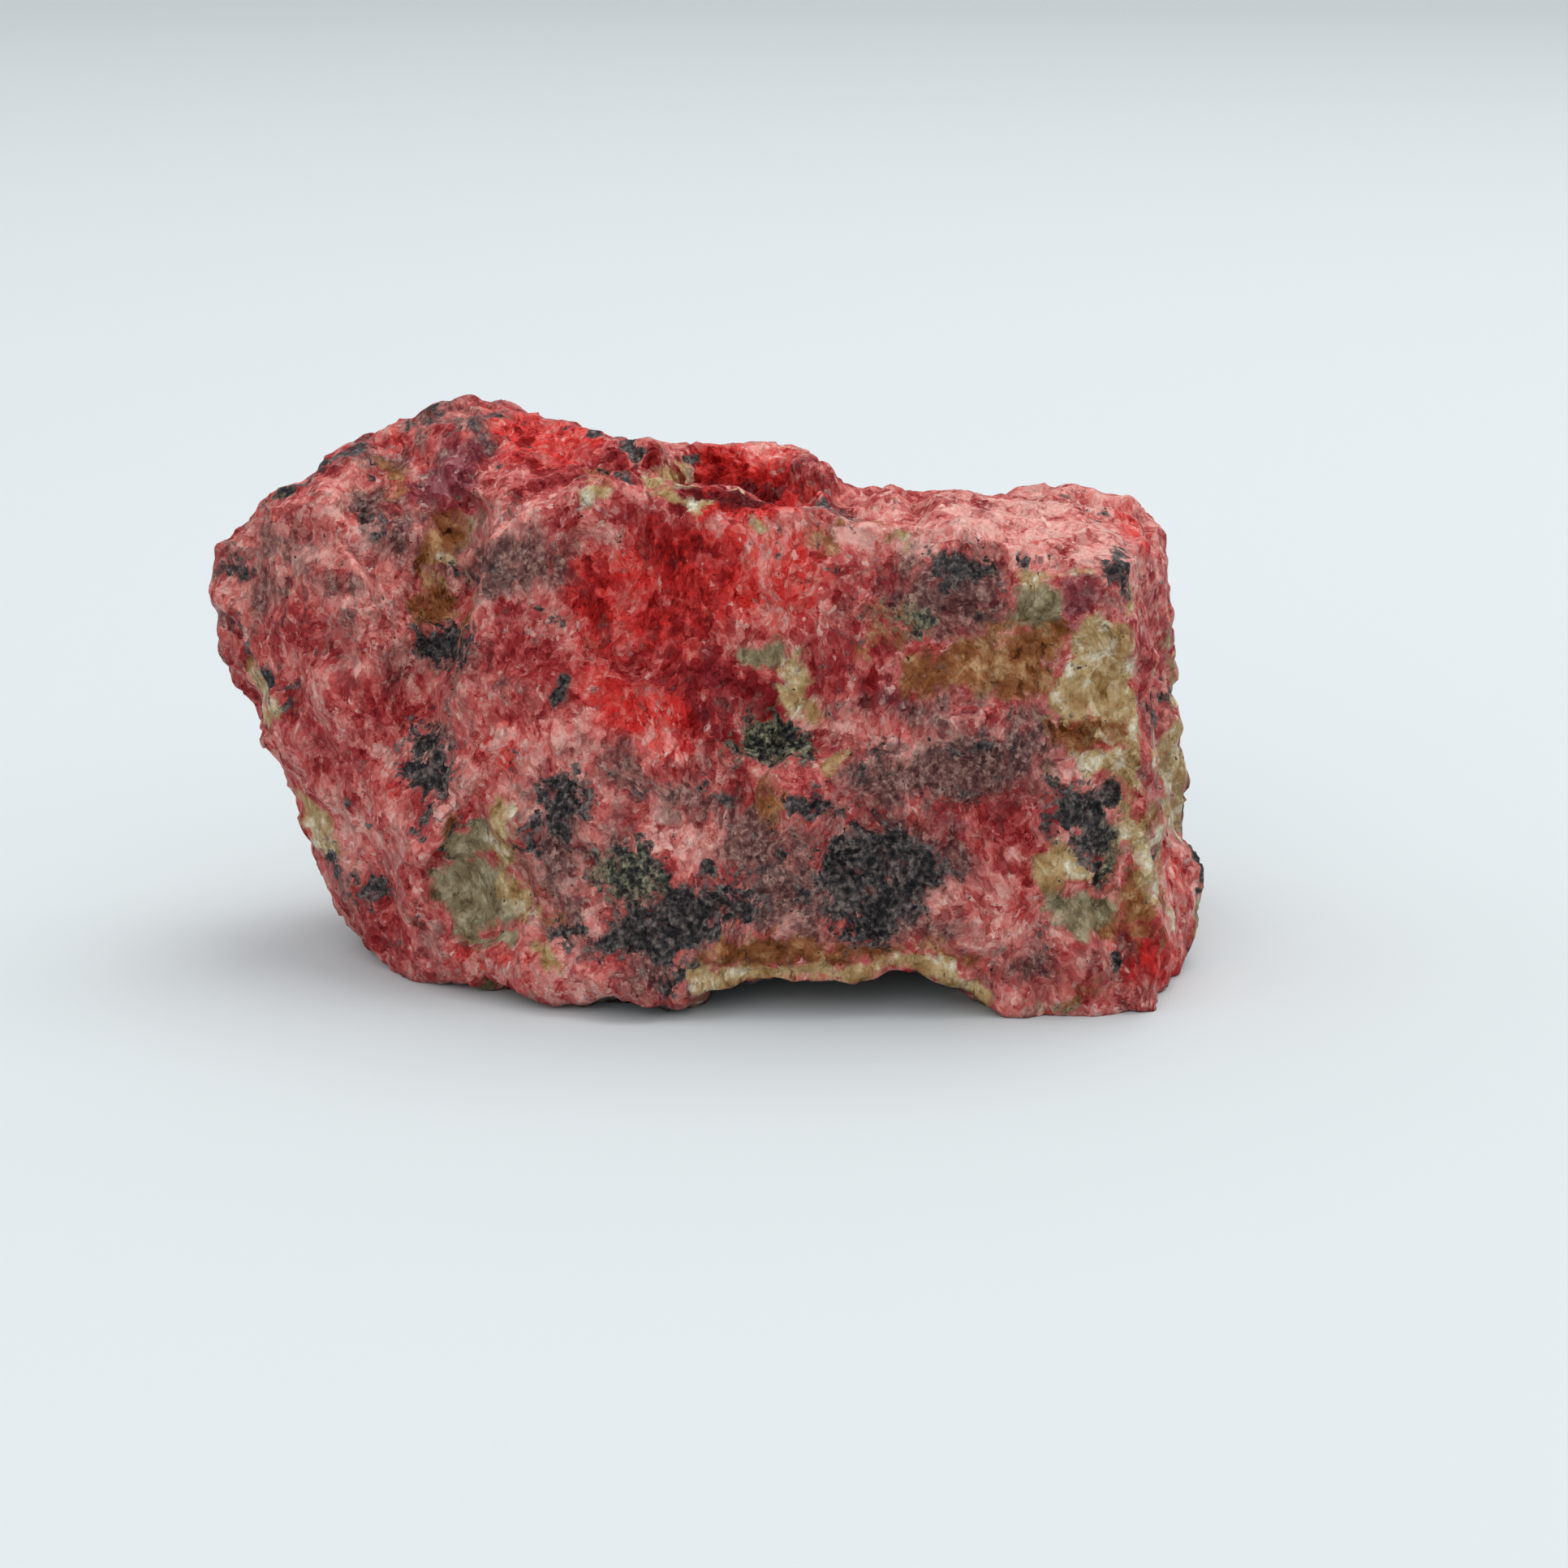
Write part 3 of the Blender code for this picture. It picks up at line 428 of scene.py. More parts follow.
STROKES = {
    "manganese": [
        ([(334, 606), (355, 601), (392, 583), (412, 568), (443, 553)], 0.40, 1.0),
        ([(690, 524), (725, 532), (760, 541)], 0.16, 0.9),
        ([(760, 545), (782, 562)], 0.45, 0.9),
        ([(816, 552), (822, 558)], 0.3, 1.1),
        ([(852, 564), (860, 567)], 0.35, 1.1),
        # Painted shade: a thin black line along the crease under the ledge.
        ([(736, 583), (779, 593)], 0.16, 1.2),
        ([(476, 735), (478, 748)], 0.25, 0.9),
        ([(455, 570), (460, 590)], 0.3, 0.7),
        ([(656, 745), (672, 752), (690, 764)], 0.3, 1.0),
        ([(684, 843), (678, 868)], 0.5, 1.1),
        ([(396, 1050), (414, 1078)], 0.4, 0.8),
        ([(432, 986), (440, 990)], 0.25, 1.0),
        ([(434, 1015), (452, 1020)], 0.2, 0.8),
        ([(506, 1022), (514, 1034)], 0.4, 0.7),
        ([(862, 962), (870, 967)], 0.4, 0.9),
        ([(876, 980), (904, 990)], 0.35, 0.8),
        ([(927, 1026), (932, 1032)], 0.3, 1.1),
        ([(748, 950), (756, 955)], 0.25, 1.0),
        ([(780, 978), (800, 980)], 0.35, 0.7),
        ([(868, 1072), (880, 1082)], 0.3, 1.1),
        ([(1170, 924), (1215, 920)], 0.5, 0.6),
        ([(1064, 950), (1068, 965)], 0.35, 0.9),
        ([(1180, 970), (1205, 985)], 0.4, 0.6),
        ([(1440, 690), (1447, 745)], 0.3, 0.9),
        ([(1431, 950), (1434, 968)], 0.35, 0.7),
        ([(1376, 1184), (1380, 1190)], 0.35, 1.1),
        ([(1280, 1154), (1290, 1166)], 0.3, 0.8),
        ([(1310, 616), (1330, 620)], 0.25, 0.7),
        ([(1005, 660), (1010, 678)], 0.35, 0.7),
        ([(1020, 600), (1030, 615)], 0.6, 0.8),
        ([(545, 1050), (556, 1062)], 0.4, 0.8),
    ],
    "ochre": [([(540, 1030), (560, 1005)], 0.35, 1.0), ([(1035, 635), (1110, 632)], 0.3, 0.8)],
    "milky": [
        ([(541, 704), (549, 716)], 0.3, 1.2),
        ([(552, 686), (558, 690)], 0.3, 1.2),
        ([(1290, 895), (1335, 905)], 0.12, 0.8),
        ([(1300, 880), (1360, 886)], 0.12, 0.8),
        ([(1330, 1080), (1280, 1076)], 0.4, 1.1),
        ([(1012, 1190), (1020, 1200)], 0.35, 1.3),
        ([(1420, 1080), (1440, 1140)], 0.25, 0.9),
        ([(1398, 700), (1396, 760)], 0.18, 0.8),
        ([(930, 645), (945, 652)], 0.4, 1.0),
    ],
    "pale": [
        ([(622, 900), (590, 950), (545, 1005), (515, 1060)], 0.7, 1.1),
        ([(850, 1030), (862, 1060)], 0.9, 0.8),
        ([(1060, 948), (1160, 912), (1240, 900)], 0.45, 0.9),
        ([(860, 838), (930, 838)], 0.3, 0.6),
    ],
}
# How softly each mineral's share falls off across an outline, in millimetres.
SOFTNESS = {"ash": 2.4, "deep": 1.8, "vivid": 1.6, "wine": 1.4, "pale": 1.8, "manganese": 1.1}
USUAL_SOFTNESS = 0.9
# Behind the display side the minerals run on through the stone, aslant by this share of the way
# in, turned back at the edges of this box and drifting by (bump size, reach) in millimetres.
ASLANT = (-0.50, -0.15)
FOLD_MIDDLE = (-6.2, -6.1)
FOLD_REACH = (38.0, 24.0)
DRIFT = (12.0, 7.0)
DRIFT_SEEDS = (71, 72)
# Lines and outlines wander by this much, as (bump size, reach) in millimetres.
WANDER = [(3.1, 0.50), (1.3, 0.35), (0.8, 0.20)]
MINERAL_WANDER_SEED = 61


def linear(colour):
    """A "#RRGGBB" colour as linear RGBA."""
    parts = [int(colour[i : i + 2], 16) / 255 for i in (1, 3, 5)]
    return tuple(c / 12.92 if c <= 0.04045 else ((c + 0.055) / 1.055) ** 2.4 for c in parts) + (1.0,)


def colour_property(name, description, colour):
    return FloatVectorProperty(
        name=name, description=description, subtype="COLOR", size=4, min=0.0, max=1.0, default=linear(colour)
    )


class RhodoniteStoneSettings(bpy.types.PropertyGroup):
    """Sizes and colours of the stone."""

    voxel: FloatProperty(
        name="Mesh size", description="Width of the quads that the stone is evened out to",
        default=0.395 * MM, unit="LENGTH",
    )
    smoothing: IntProperty(name="Smoothing", description="Rounds that wear off the flat facets", default=2)
    relief: FloatProperty(name="Relief", description="Strength of ridges, grooves and steps", default=1.0)
    chips: FloatProperty(name="Chips", description="Strength of the small fracture faces", default=1.0)
    grain: FloatProperty(
        name="Grain", description="Width of the rhodonite grains", default=0.85 * MM, unit="LENGTH"
    )
    speckle: FloatProperty(
        name="Speckle", description="Width of the manganese oxide grains", default=0.30 * MM, unit="LENGTH"
    )
    rose: colour_property("Rose", "Rhodonite of middling depth", "#B95450")
    pale: colour_property("Pale rose", "Weathered and fine-grained rhodonite", "#DFA398")
    blood: colour_property("Blood red", "The darkest clean crystals", "#5C0004")
    scarlet: colour_property("Scarlet", "The brightest clean crystals", "#CE2824")
    oxide: colour_property("Oxide", "Manganese oxide", "#121012")


class RhodoniteStageSettings(bpy.types.PropertyGroup):
    """The floor and the light."""

    floor: colour_property("Floor", "Pale matt paper", "#CACECF")
    floor_radius: FloatProperty(
        name="Floor radius", description="From the stone to where the floor turns up",
        default=1.1, unit="LENGTH",
    )
    sky: FloatProperty(name="Sky", description="Strength of the light from all round", default=1.06)
    lamp: FloatProperty(
        name="Lamp", description="Strength of the soft lamp overhead", default=5.2, unit="POWER"
    )
    fill: FloatProperty(
        name="Fill", description="Strength of the soft lamp in front", default=2.1, unit="POWER"
    )


# ---------------------------------------------------------------------------------------
# The mesh


def delete_specks(mesh):
    """Deletes what isn't joined to the mesh's highest vertex."""
    body = bmesh.new()
    body.from_mesh(mesh)
    waiting = [max(body.verts, key=lambda vert: vert.co.z)]
    joined = set(waiting)
    while waiting:
        vert = waiting.pop()
        around = {edge.other_vert(vert) for edge in vert.link_edges} - joined
        joined |= around
        waiting.extend(around)
    specks = [vert for vert in body.verts if vert not in joined]
    bmesh.ops.delete(body, geom=specks, context="VERTS")
    body.to_mesh(mesh)
    body.free()


def stone_body(settings):
    """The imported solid, welded, evened out to small quads and with its facet edges worn off."""
    body = bmesh.new()
    body.from_mesh(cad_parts[NODE].data)
    bmesh.ops.remove_doubles(body, verts=body.verts, dist=0.001 * MM)
    coarse = bpy.data.meshes.new("stone_body")
    body.to_mesh(coarse)
    body.free()
    holder = bpy.data.objects.new("stone_body", coarse)
    bpy.context.scene.collection.objects.link(holder)
    even = holder.modifiers.new("even_quads", "REMESH")
    even.mode = "VOXEL"
    even.voxel_size = settings.voxel
    worn = holder.modifiers.new("worn_facets", "SMOOTH")
    worn.iterations = settings.smoothing
    bpy.context.view_layer.update()
    graph = bpy.context.evaluated_depsgraph_get()
    mesh = bpy.data.meshes.new_from_object(holder.evaluated_get(graph))
    bpy.data.objects.remove(holder)
    bpy.data.meshes.remove(coarse)
    delete_specks(mesh)
    return mesh


def vertex_normals(points, quads):
    """The normal at each vertex of a mesh of quads."""
    across = np.cross(points[quads[:, 2]] - points[quads[:, 0]], points[quads[:, 3]] - points[quads[:, 1]])
    normals = np.zeros_like(points)
    np.add.at(normals, quads, across[:, None])
    return normals / np.maximum(np.linalg.norm(normals, axis=1, keepdims=True), 1e-12)


def mesh_arrays(mesh):
    """(points in millimetres, quads) of a mesh of quads."""
    points = np.empty(len(mesh.vertices) * 3)
    corners = np.empty(len(mesh.loops), dtype=int)
    mesh.vertices.foreach_get("co", points)
    mesh.loops.foreach_get("vertex_index", corners)
    return points.reshape(-1, 3) / MM, corners.reshape(-1, 4)


def along_fibres(points, stretch):
    """The points squeezed along the fibre axis, so that what is round there lies long on the stone."""
    axis = np.array(FIBRE_AXIS) / np.linalg.norm(FIBRE_AXIS)
    return points - np.outer(points @ axis, axis) * (1 - 1 / stretch)


def bumps(points, size, seed):
    """Smooth noise from -1 to 1 with bumps of that size, the same at every run. Its lattice is
    turned at random, so that it doesn't line up with the axes."""
    random = np.random.default_rng(seed)
    turn, _ = np.linalg.qr(random.normal(size=(3, 3)))
    cells = points @ turn / size
    low = np.floor(cells).astype(int)
    share = cells - low
    share = share * share * (3 - 2 * share)
    low -= low.min(axis=0)
    heights = random.uniform(-1, 1, low.max(axis=0) + 2)
    total = np.zeros(len(points))
    for corner in np.ndindex(2, 2, 2):
        weight = np.where(corner, share, 1 - share).prod(axis=1)
        total += weight * heights[tuple((low + corner).T)]
    return total


def smooth_share(value):
    """0 below 0, 1 above 1 and a soft slope between."""
    value = np.clip(value, 0, 1)
    return value * value * (3 - 2 * value)


def in_frame(pixels):
    """Pixels of the display view's frame as flat millimetres from its middle."""
    return (np.array(pixels, dtype=float) - FRAME_SIDE / 2) / PIXELS_PER_MM


def turned_back(places, middle, reach):
    """Places beyond the reach from the middle folded back inside it."""
    return middle + reach - np.abs((places - middle + reach) % (4 * reach) - 2 * reach)


class DisplayView:
    """The stone's vertices as the display view sees them: `flat` is right and down in
    millimetres across its frame, and `facing` is how squarely each vertex faces the eye."""

    def __init__(self, points, normals):
        back = np.array(VIEW_BACK)
        from_eye = points - np.array(VIEW_TARGET) - back * VIEW_DISTANCE
        depth = from_eye @ -back
        across_and_down = np.stack((from_eye[:, 0], -(from_eye @ np.array(VIEW_UP))), axis=1)
        self.flat = across_and_down / depth[:, None] * VIEW_DISTANCE
        towards_eye = -from_eye / np.linalg.norm(from_eye, axis=1, keepdims=True)
        self.facing = (normals * towards_eye).sum(axis=1)

    def display_share(self, fade):
        """0 behind the display side, 1 on it and a soft slope between."""
        start, length = fade
        return smooth_share((self.facing - start) / length)

    def run_through(self, points):
        """Moves flat aslant behind the display side, so that what is drawn on it runs on through
        the stone without streaks."""
        size, reach = DRIFT
        drift = reach * np.stack([bumps(points, size, seed) for seed in DRIFT_SEEDS], axis=1)
        inwards = (points[:, 1] - points[:, 1].min())[:, None]
        hidden = 1 - self.display_share(MINERAL_FADE)[:, None]
        moved = self.flat + hidden * inwards * np.array(ASLANT)
        folded = turned_back(moved, np.array(FOLD_MIDDLE), np.array(FOLD_REACH))
        self.flat = folded + hidden * drift

    def from_line(self, pixels, wander):
        """(distance in millimetres, 1 on the right of the line or -1 on its left) of each vertex
        from a line of pixels."""
        nearest = np.full(len(self.flat), np.inf)
        right = np.zeros(len(self.flat))
        line = in_frame(pixels)
        for start, end in zip(line, line[1:]):
            along = end - start
            offset = self.flat + wander - start
            share = np.clip(offset @ along / (along @ along), 0, 1)
            distance = np.linalg.norm(offset - share[:, None] * along, axis=1)
            closer = distance < nearest
            nearest[closer] = distance[closer]
            right[closer] = np.sign(along[0] * offset[:, 1] - along[1] * offset[:, 0])[closer]
        return nearest, right

    def within_outline(self, pixels, wander):
        """How many millimetres each vertex lies inside an outline of pixels, less than 0 outside it."""
        distance, _ = self.from_line(pixels + pixels[:1], wander)
        across, down = (self.flat + wander).T
        inside = np.zeros(len(across), dtype=bool)
        corners = in_frame(pixels)
        for start, end in zip(corners, np.roll(corners, -1, axis=0)):
            if start[1] != end[1]:
                crossing = start[0] + (down - start[1]) / (end[1] - start[1]) * (end[0] - start[0])
                inside ^= ((start[1] > down) != (end[1] > down)) & (across < crossing)
        return np.where(inside, distance, -distance)


def fracture_height(points, seed, size, tilt, step, stretch):
    """How far each point stands out on flat facets that lean their own ways and meet in crisp
    edges. Each facet is the lowest of its neighbours' planes where it is near."""
    placed = along_fibres(points, stretch)
    low, high = placed.min(axis=0), placed.max(axis=0)
    count = int(np.prod((high - low) / size))
    random = np.random.default_rng(seed)
    middles = random.uniform(low, high, (count, 3))
    leans = random.normal(0, tilt, (count, 3))
    steps = random.uniform(-step, step, count)
    tree = kdtree.KDTree(count)
    for index, middle in enumerate(middles):
        tree.insert(middle, index)
    tree.balance()
    near = np.array([[found[1] for found in tree.find_n(point, FRACTURE_NEIGHBOURS)] for point in placed])
    offset = placed[:, None] - middles[near]
    bend = FRACTURE_BEND / size * (offset * offset).sum(axis=2)
    planes = (offset * leans[near]).sum(axis=2) + steps[near]
    height = (planes + bend).min(axis=1) - bend.min(axis=1)
    return height - height.mean()


def relief_height(points, view, settings):
    """How far each vertex moves out along its normal, in millimetres."""
    drawn = np.zeros(len(points))
    wander = wander_of(points, RELIEF_WANDER_SEED)
    for line, width, tall in RIDGES:
        distance, _ = view.from_line(line, wander)
        drawn += tall * smooth_share(1 - distance / width)
    for line, width, drop in STEPS:
        distance, right = view.from_line(line, wander)
        below = smooth_share(0.5 + right * distance / STEP_EDGE)
        drawn -= drop * below * smooth_share(1 - distance / width)
    height = settings.relief * view.display_share(RELIEF_FADE) * drawn - INSET
    for fracture in FRACTURES:
        height += settings.chips * fracture_height(points, *fracture)
    fibres = bumps(along_fibres(points, FIBRE_STRETCH), FIBRE_WIDTH, FIBRE_SEED)
    patches = smooth_share(0.5 + bumps(points, FIBROUS_PATCH, FIBROUS_SEED))
    fibrous = FIBROUS_LEAST + (1 - FIBROUS_LEAST) * patches
    height += FIBRE_HEIGHT * fibrous * fibres
    height += ROUGHNESS_HEIGHT * bumps(points, ROUGHNESS_WIDTH, ROUGHNESS_SEED)
    return height


def wander_of(points, seed):
    """How far lines and outlines are carried aside at each vertex, so that none runs straight."""
    aside = np.zeros((len(points), 2))
    for size, reach in WANDER:
        for axis in range(2):
            aside[:, axis] += reach * bumps(points, size, seed)
            seed += 1
    return aside


def mineral_amount(view, mineral, wander):
    """How much of a mineral there is at each vertex: a half along an outline or a stroke's edge."""
    painted = np.zeros(len(wander))
    softness = SOFTNESS.get(mineral, USUAL_SOFTNESS)
    for outline, strength in AREAS[mineral]:
        inside = view.within_outline(outline, wander)
        painted = np.maximum(painted, strength * np.clip(0.5 + 0.5 * inside / softness, 0, 1))
    for line, half_width, strength in STROKES.get(mineral, []):
        distance, _ = view.from_line(line, wander)
        painted = np.maximum(painted, strength * (1 - 0.5 * distance / half_width))
    return painted


def averaged(values, quads, rounds):
    """A vector at each vertex, evened out with its neighbours'."""
    corners = quads.ravel()
    count = np.bincount(corners)[:, None]
    for _ in range(rounds):
        around = np.repeat(values[quads].mean(axis=1), 4, axis=0)
        total = np.stack([np.bincount(corners, around[:, axis]) for axis in range(3)], axis=1)
        values = 0.5 * values + 0.5 * total / count
    return values


def press_onto_floor(points):
    """Presses the lowest skin down, and cuts it off flat at the floor."""
    skin, sink = 1.2, 0.35
    points[:, 2] -= sink * np.clip(1 - points[:, 2] / skin, 0, 1)
    points[:, 2] = np.maximum(points[:, 2], 0)


def stone_mesh(settings):
    """The stone's body with its relief, and each mineral's amount as an attribute of its vertices."""
    mesh = stone_body(settings)
    points, quads = mesh_arrays(mesh)
    normals = averaged(vertex_normals(points, quads), quads, NORMAL_ROUNDS)
    view = DisplayView(points, normals)
    height = relief_height(points, view, settings)
    view.run_through(points)
    wander = wander_of(points, MINERAL_WANDER_SEED)
    for mineral in AREAS:
        amount = mineral_amount(view, mineral, wander)
        layer = mesh.attributes.new(mineral, "FLOAT", "POINT")
        layer.data.foreach_set("value", amount.astype(np.float32))
    points += normals * height[:, None]
    press_onto_floor(points)
    mesh.vertices.foreach_set("co", (points * MM).ravel())
    mesh.update()
    return mesh


# ---------------------------------------------------------------------------------------
# Materials

HALF = (0.5, 0.5, 0.5)
# There is none of a mineral below the first of these amounts, and its full share above the second.
LEAST_AMOUNT = (0.03, 0.22)


def add_node(tree, kind, inputs=None, **settings):
    """A new node with its settings, its inputs linked to sockets or set to values, which may be
    "#RRGGBB" colours."""
    made = tree.nodes.new(kind)
    for name, value in settings.items():
        setattr(made, name, value)
    for key, value in (inputs or {}).items():
        if isinstance(value, bpy.types.NodeSocket):
            tree.links.new(value, made.inputs[key])
        else:
            made.inputs[key].default_value = linear(value) if isinstance(value, str) else value
    return made


def new_material(name):
    material = bpy.data.materials.new(name)
    material.use_nodes = True
    material.node_tree.nodes.clear()
    return material, material.node_tree


def per_metre(size):
    """A texture's scale for a pattern of that size in metres."""
    return 1.0 / size


def math_of(tree, operation, first, second=0.0, third=0.0):
    inputs = {0: first, 1: second, 2: third}
    return add_node(tree, "ShaderNodeMath", inputs, operation=operation).outputs[0]


def vector_of(tree, operation, inputs):
    """The outputs of vector arithmetic: Vector and Value."""
    return add_node(tree, "ShaderNodeVectorMath", inputs, operation=operation).outputs


def product(tree, first, second):
    return math_of(tree, "MULTIPLY", first, second)


def added(tree, total, *parts):
    """total plus, for each (value, weight), the weight times the value."""
    for value, weight in parts:
        total = math_of(tree, "MULTIPLY_ADD", value, weight, total)
    return total


def around_middle(tree, total, *parts):
    """total plus, for each (value, weight), the weight times what the value is over a half."""
    for value, weight in parts:
        total = added(tree, total, (math_of(tree, "SUBTRACT", value, 0.5), weight))
    return total


def mix(tree, share, first, second):
    inputs = {0: share, 6: first, 7: second}
    return add_node(tree, "ShaderNodeMix", inputs, data_type="RGBA", clamp_factor=True).outputs[2]


def ramp(tree, value, *stops):
    """A colour ramp through (position, colour) stops."""
    made = add_node(tree, "ShaderNodeValToRGB", {"Fac": value})
    elements = made.color_ramp.elements
    while len(elements) < len(stops):
        elements.new(1.0)
    for element, (position, colour) in zip(elements, stops):
        element.position = position
        element.color = linear(colour) if isinstance(colour, str) else colour
    return made.outputs["Color"]


def threshold(tree, value, low, high):
    """0 below low and 1 above high, or the other way round where low is the larger."""
    inputs = {"Value": value, "From Min": low, "From Max": high}
    return add_node(tree, "ShaderNodeMapRange", inputs, interpolation_type="SMOOTHSTEP").outputs["Result"]


def noise(tree, vector, size, detail=2.0, rough=0.5):
    """The outputs of noise with bumps of that size: Fac and Color."""
    inputs = {"Vector": vector, "Scale": per_metre(size), "Detail": detail, "Roughness": rough}
    return add_node(tree, "ShaderNodeTexNoise", inputs).outputs


def cells(tree, vector, size):
    """The outputs of Voronoi cells of that size: Distance, Color and Position."""
    return add_node(tree, "ShaderNodeTexVoronoi", {"Vector": vector, "Scale": per_metre(size)}).outputs


def shades(tree, grains):
    """Three random values for each grain."""
    return add_node(tree, "ShaderNodeSeparateColor", {0: grains["Color"]}).outputs


def amount_of(tree, mineral):
    return add_node(tree, "ShaderNodeAttribute", attribute_name=mineral).outputs["Fac"]


def grainy_amount(tree, mineral, grains, reach, sharpness):
    """A mineral's amount with its edge broken up by the grains and drawn sharper."""
    amount = amount_of(tree, mineral)
    broken = around_middle(tree, amount, (grains, reach))
    share = threshold(tree, broken, 0.5 - 0.5 / sharpness, 0.5 + 0.5 / sharpness)
    return product(tree, share, threshold(tree, amount, *LEAST_AMOUNT))


def drawn_out(tree, place, share):
    """Coordinates squeezed upright to that share, so that grains lie long upright on the stone, and
    then turned with the fibre axis, off the stone's own axes. They drift a little, so that not
    all grains lie the same way."""
    turn = Vector(FIBRE_AXIS).to_track_quat("Z", "Y").inverted().to_euler()
    drift = vector_of(tree, "SCALE", {0: noise(tree, place, 7 * MM, 1.0)["Color"], 3: 2.5 * MM})[0]
    drifted = vector_of(tree, "ADD", {0: place, 1: drift})[0]
    squeeze = {"Vector": drifted, "Rotation": turn, "Scale": (1, 1, share)}
    return add_node(tree, "ShaderNodeMapping", squeeze).outputs[0]


def ragged(tree, vector, size, reach):
    """Coordinates shaken by noise of that size, so that the edges of cells on them run unevenly."""
    off_middle = vector_of(tree, "SUBTRACT", {0: noise(tree, vector, size)["Color"], 1: HALF})[0]
    return vector_of(tree, "MULTIPLY_ADD", {0: off_middle, 1: (reach, reach, reach), 2: vector})[0]


def facet_height(tree, vector, grains):
    """The height in metres of flat faces, one on each grain, that lean their own ways."""
    offset = vector_of(tree, "SUBTRACT", {0: vector, 1: grains["Position"]})[0]
    lean = vector_of(tree, "SUBTRACT", {0: grains["Color"], 1: HALF})[0]
    return vector_of(tree, "DOT_PRODUCT", {0: offset, 1: lean})["Value"]


class Patterns:
    """The noises and grains that the minerals are drawn with."""

    def __init__(self, tree, settings):
        self.place = add_node(tree, "ShaderNodeTexCoord").outputs["Object"]
        long_way = drawn_out(tree, self.place, 0.75)
        self.clouds = noise(tree, self.place, 6 * MM)["Fac"]
        self.patches = noise(tree, long_way, 2.0 * MM, 5.0, 0.62)["Fac"]
        self.edges = noise(tree, self.place, 1.5 * MM, 5.0, 0.62)["Fac"]
        self.grit = noise(tree, self.place, settings.speckle * 1.4, 3.0, 0.6)["Fac"]
        self.uneven = ragged(tree, long_way, 0.7 * MM, 0.9 * MM)
        self.shards = cells(tree, self.uneven, settings.grain * 2.2)
        self.grains = cells(tree, self.uneven, settings.grain)
        self.crumbs = cells(tree, self.uneven, settings.grain * 0.45)
        self.shard_shades = shades(tree, self.shards)
        self.grain_shades = shades(tree, self.grains)
        self.crumb_shades = shades(tree, self.crumbs)


def pink_colour(tree, settings, patterns):
    """Rhodonite, in three hues: rose, scarlet and wine."""
    # Depth of the pink, from pale and fine-grained at 0 to blood red at 1.
    depth = around_middle(
        tree, 0.41, (patterns.clouds, 0.42), (patterns.patches, 0.44), (patterns.shard_shades[0], 0.28),
        (patterns.grain_shades[0], 0.26), (patterns.crumb_shades[0], 0.18), (patterns.grit, 0.30),
    )
    # Deep areas darken the pink and pale areas lighten it; among them are painted shade in the hollow under
    # the dome and painted light on the top shelf and the wing's ridge lines.
    depth = added(tree, depth, (amount_of(tree, "deep"), 0.42), (amount_of(tree, "pale"), -0.24))
    # Hair cracks, with painted shade darkening them, run where the patches give way to one another, and
    # grains have pale rims.
    off_crack = math_of(tree, "ABSOLUTE", math_of(tree, "SUBTRACT", patterns.patches, 0.5))
    broken_off = threshold(tree, patterns.edges, 0.42, 0.58)
    painted_crack_shade = product(tree, threshold(tree, off_crack, 0.016, 0.0), broken_off)
    rim = threshold(tree, patterns.grains["Distance"], 0.50, 0.68)
    depth = added(tree, depth, (painted_crack_shade, 0.30), (rim, -0.14))
    rose = ramp(
        tree, depth, (0.0, settings.pale), (0.2, "#CF7C73"), (0.38, settings.rose), (0.56, "#9A2A2C"),
        (0.76, "#7A0A10"), (1.0, settings.blood),
    )
    scarlet = ramp(
        tree, depth, (0.0, "#EA9A90"), (0.25, "#D85A52"), (0.5, settings.scarlet), (0.75, "#980806"),
        (1.0, settings.blood),
    )
    wine = ramp(tree, depth, (0.0, "#B07476"), (0.4, "#82323A"), (1.0, "#440610"))
    colour = mix(tree, grainy_amount(tree, "vivid", patterns.edges, 1.6, 1.5), rose, scarlet)
    colour = mix(tree, grainy_amount(tree, "wine", patterns.patches, 1.6, 1.6), colour, wine)
    # Painted glints: whitish flecks where cleavage faces would catch light and the pink isn't deep.
    glint_cells = threshold(tree, patterns.crumb_shades[1], 0.84, 1.0)
    painted_glints = product(tree, glint_cells, threshold(tree, depth, 0.62, 0.36))
    return mix(tree, product(tree, painted_glints, 0.5), colour, "#EFC8BC")


def with_ash(tree, patterns, colour):
    """The colour with ash on it: rhodonite ground fine with oxide."""
    salt = around_middle(tree, patterns.grit, (patterns.crumb_shades[2], 0.28), (patterns.edges, 0.35))
    ash = ramp(tree, salt, (0.24, "#1A1111"), (0.40, "#463030"), (0.54, "#70504A"), (0.72, "#A5867A"))
    amount = product(tree, amount_of(tree, "ash"), 1.25)
    amount = around_middle(tree, amount, (patterns.patches, 2.4), (patterns.shard_shades[2], 0.5))
    return mix(tree, product(tree, threshold(tree, amount, 0.15, 1.05), 0.90), colour, ash)


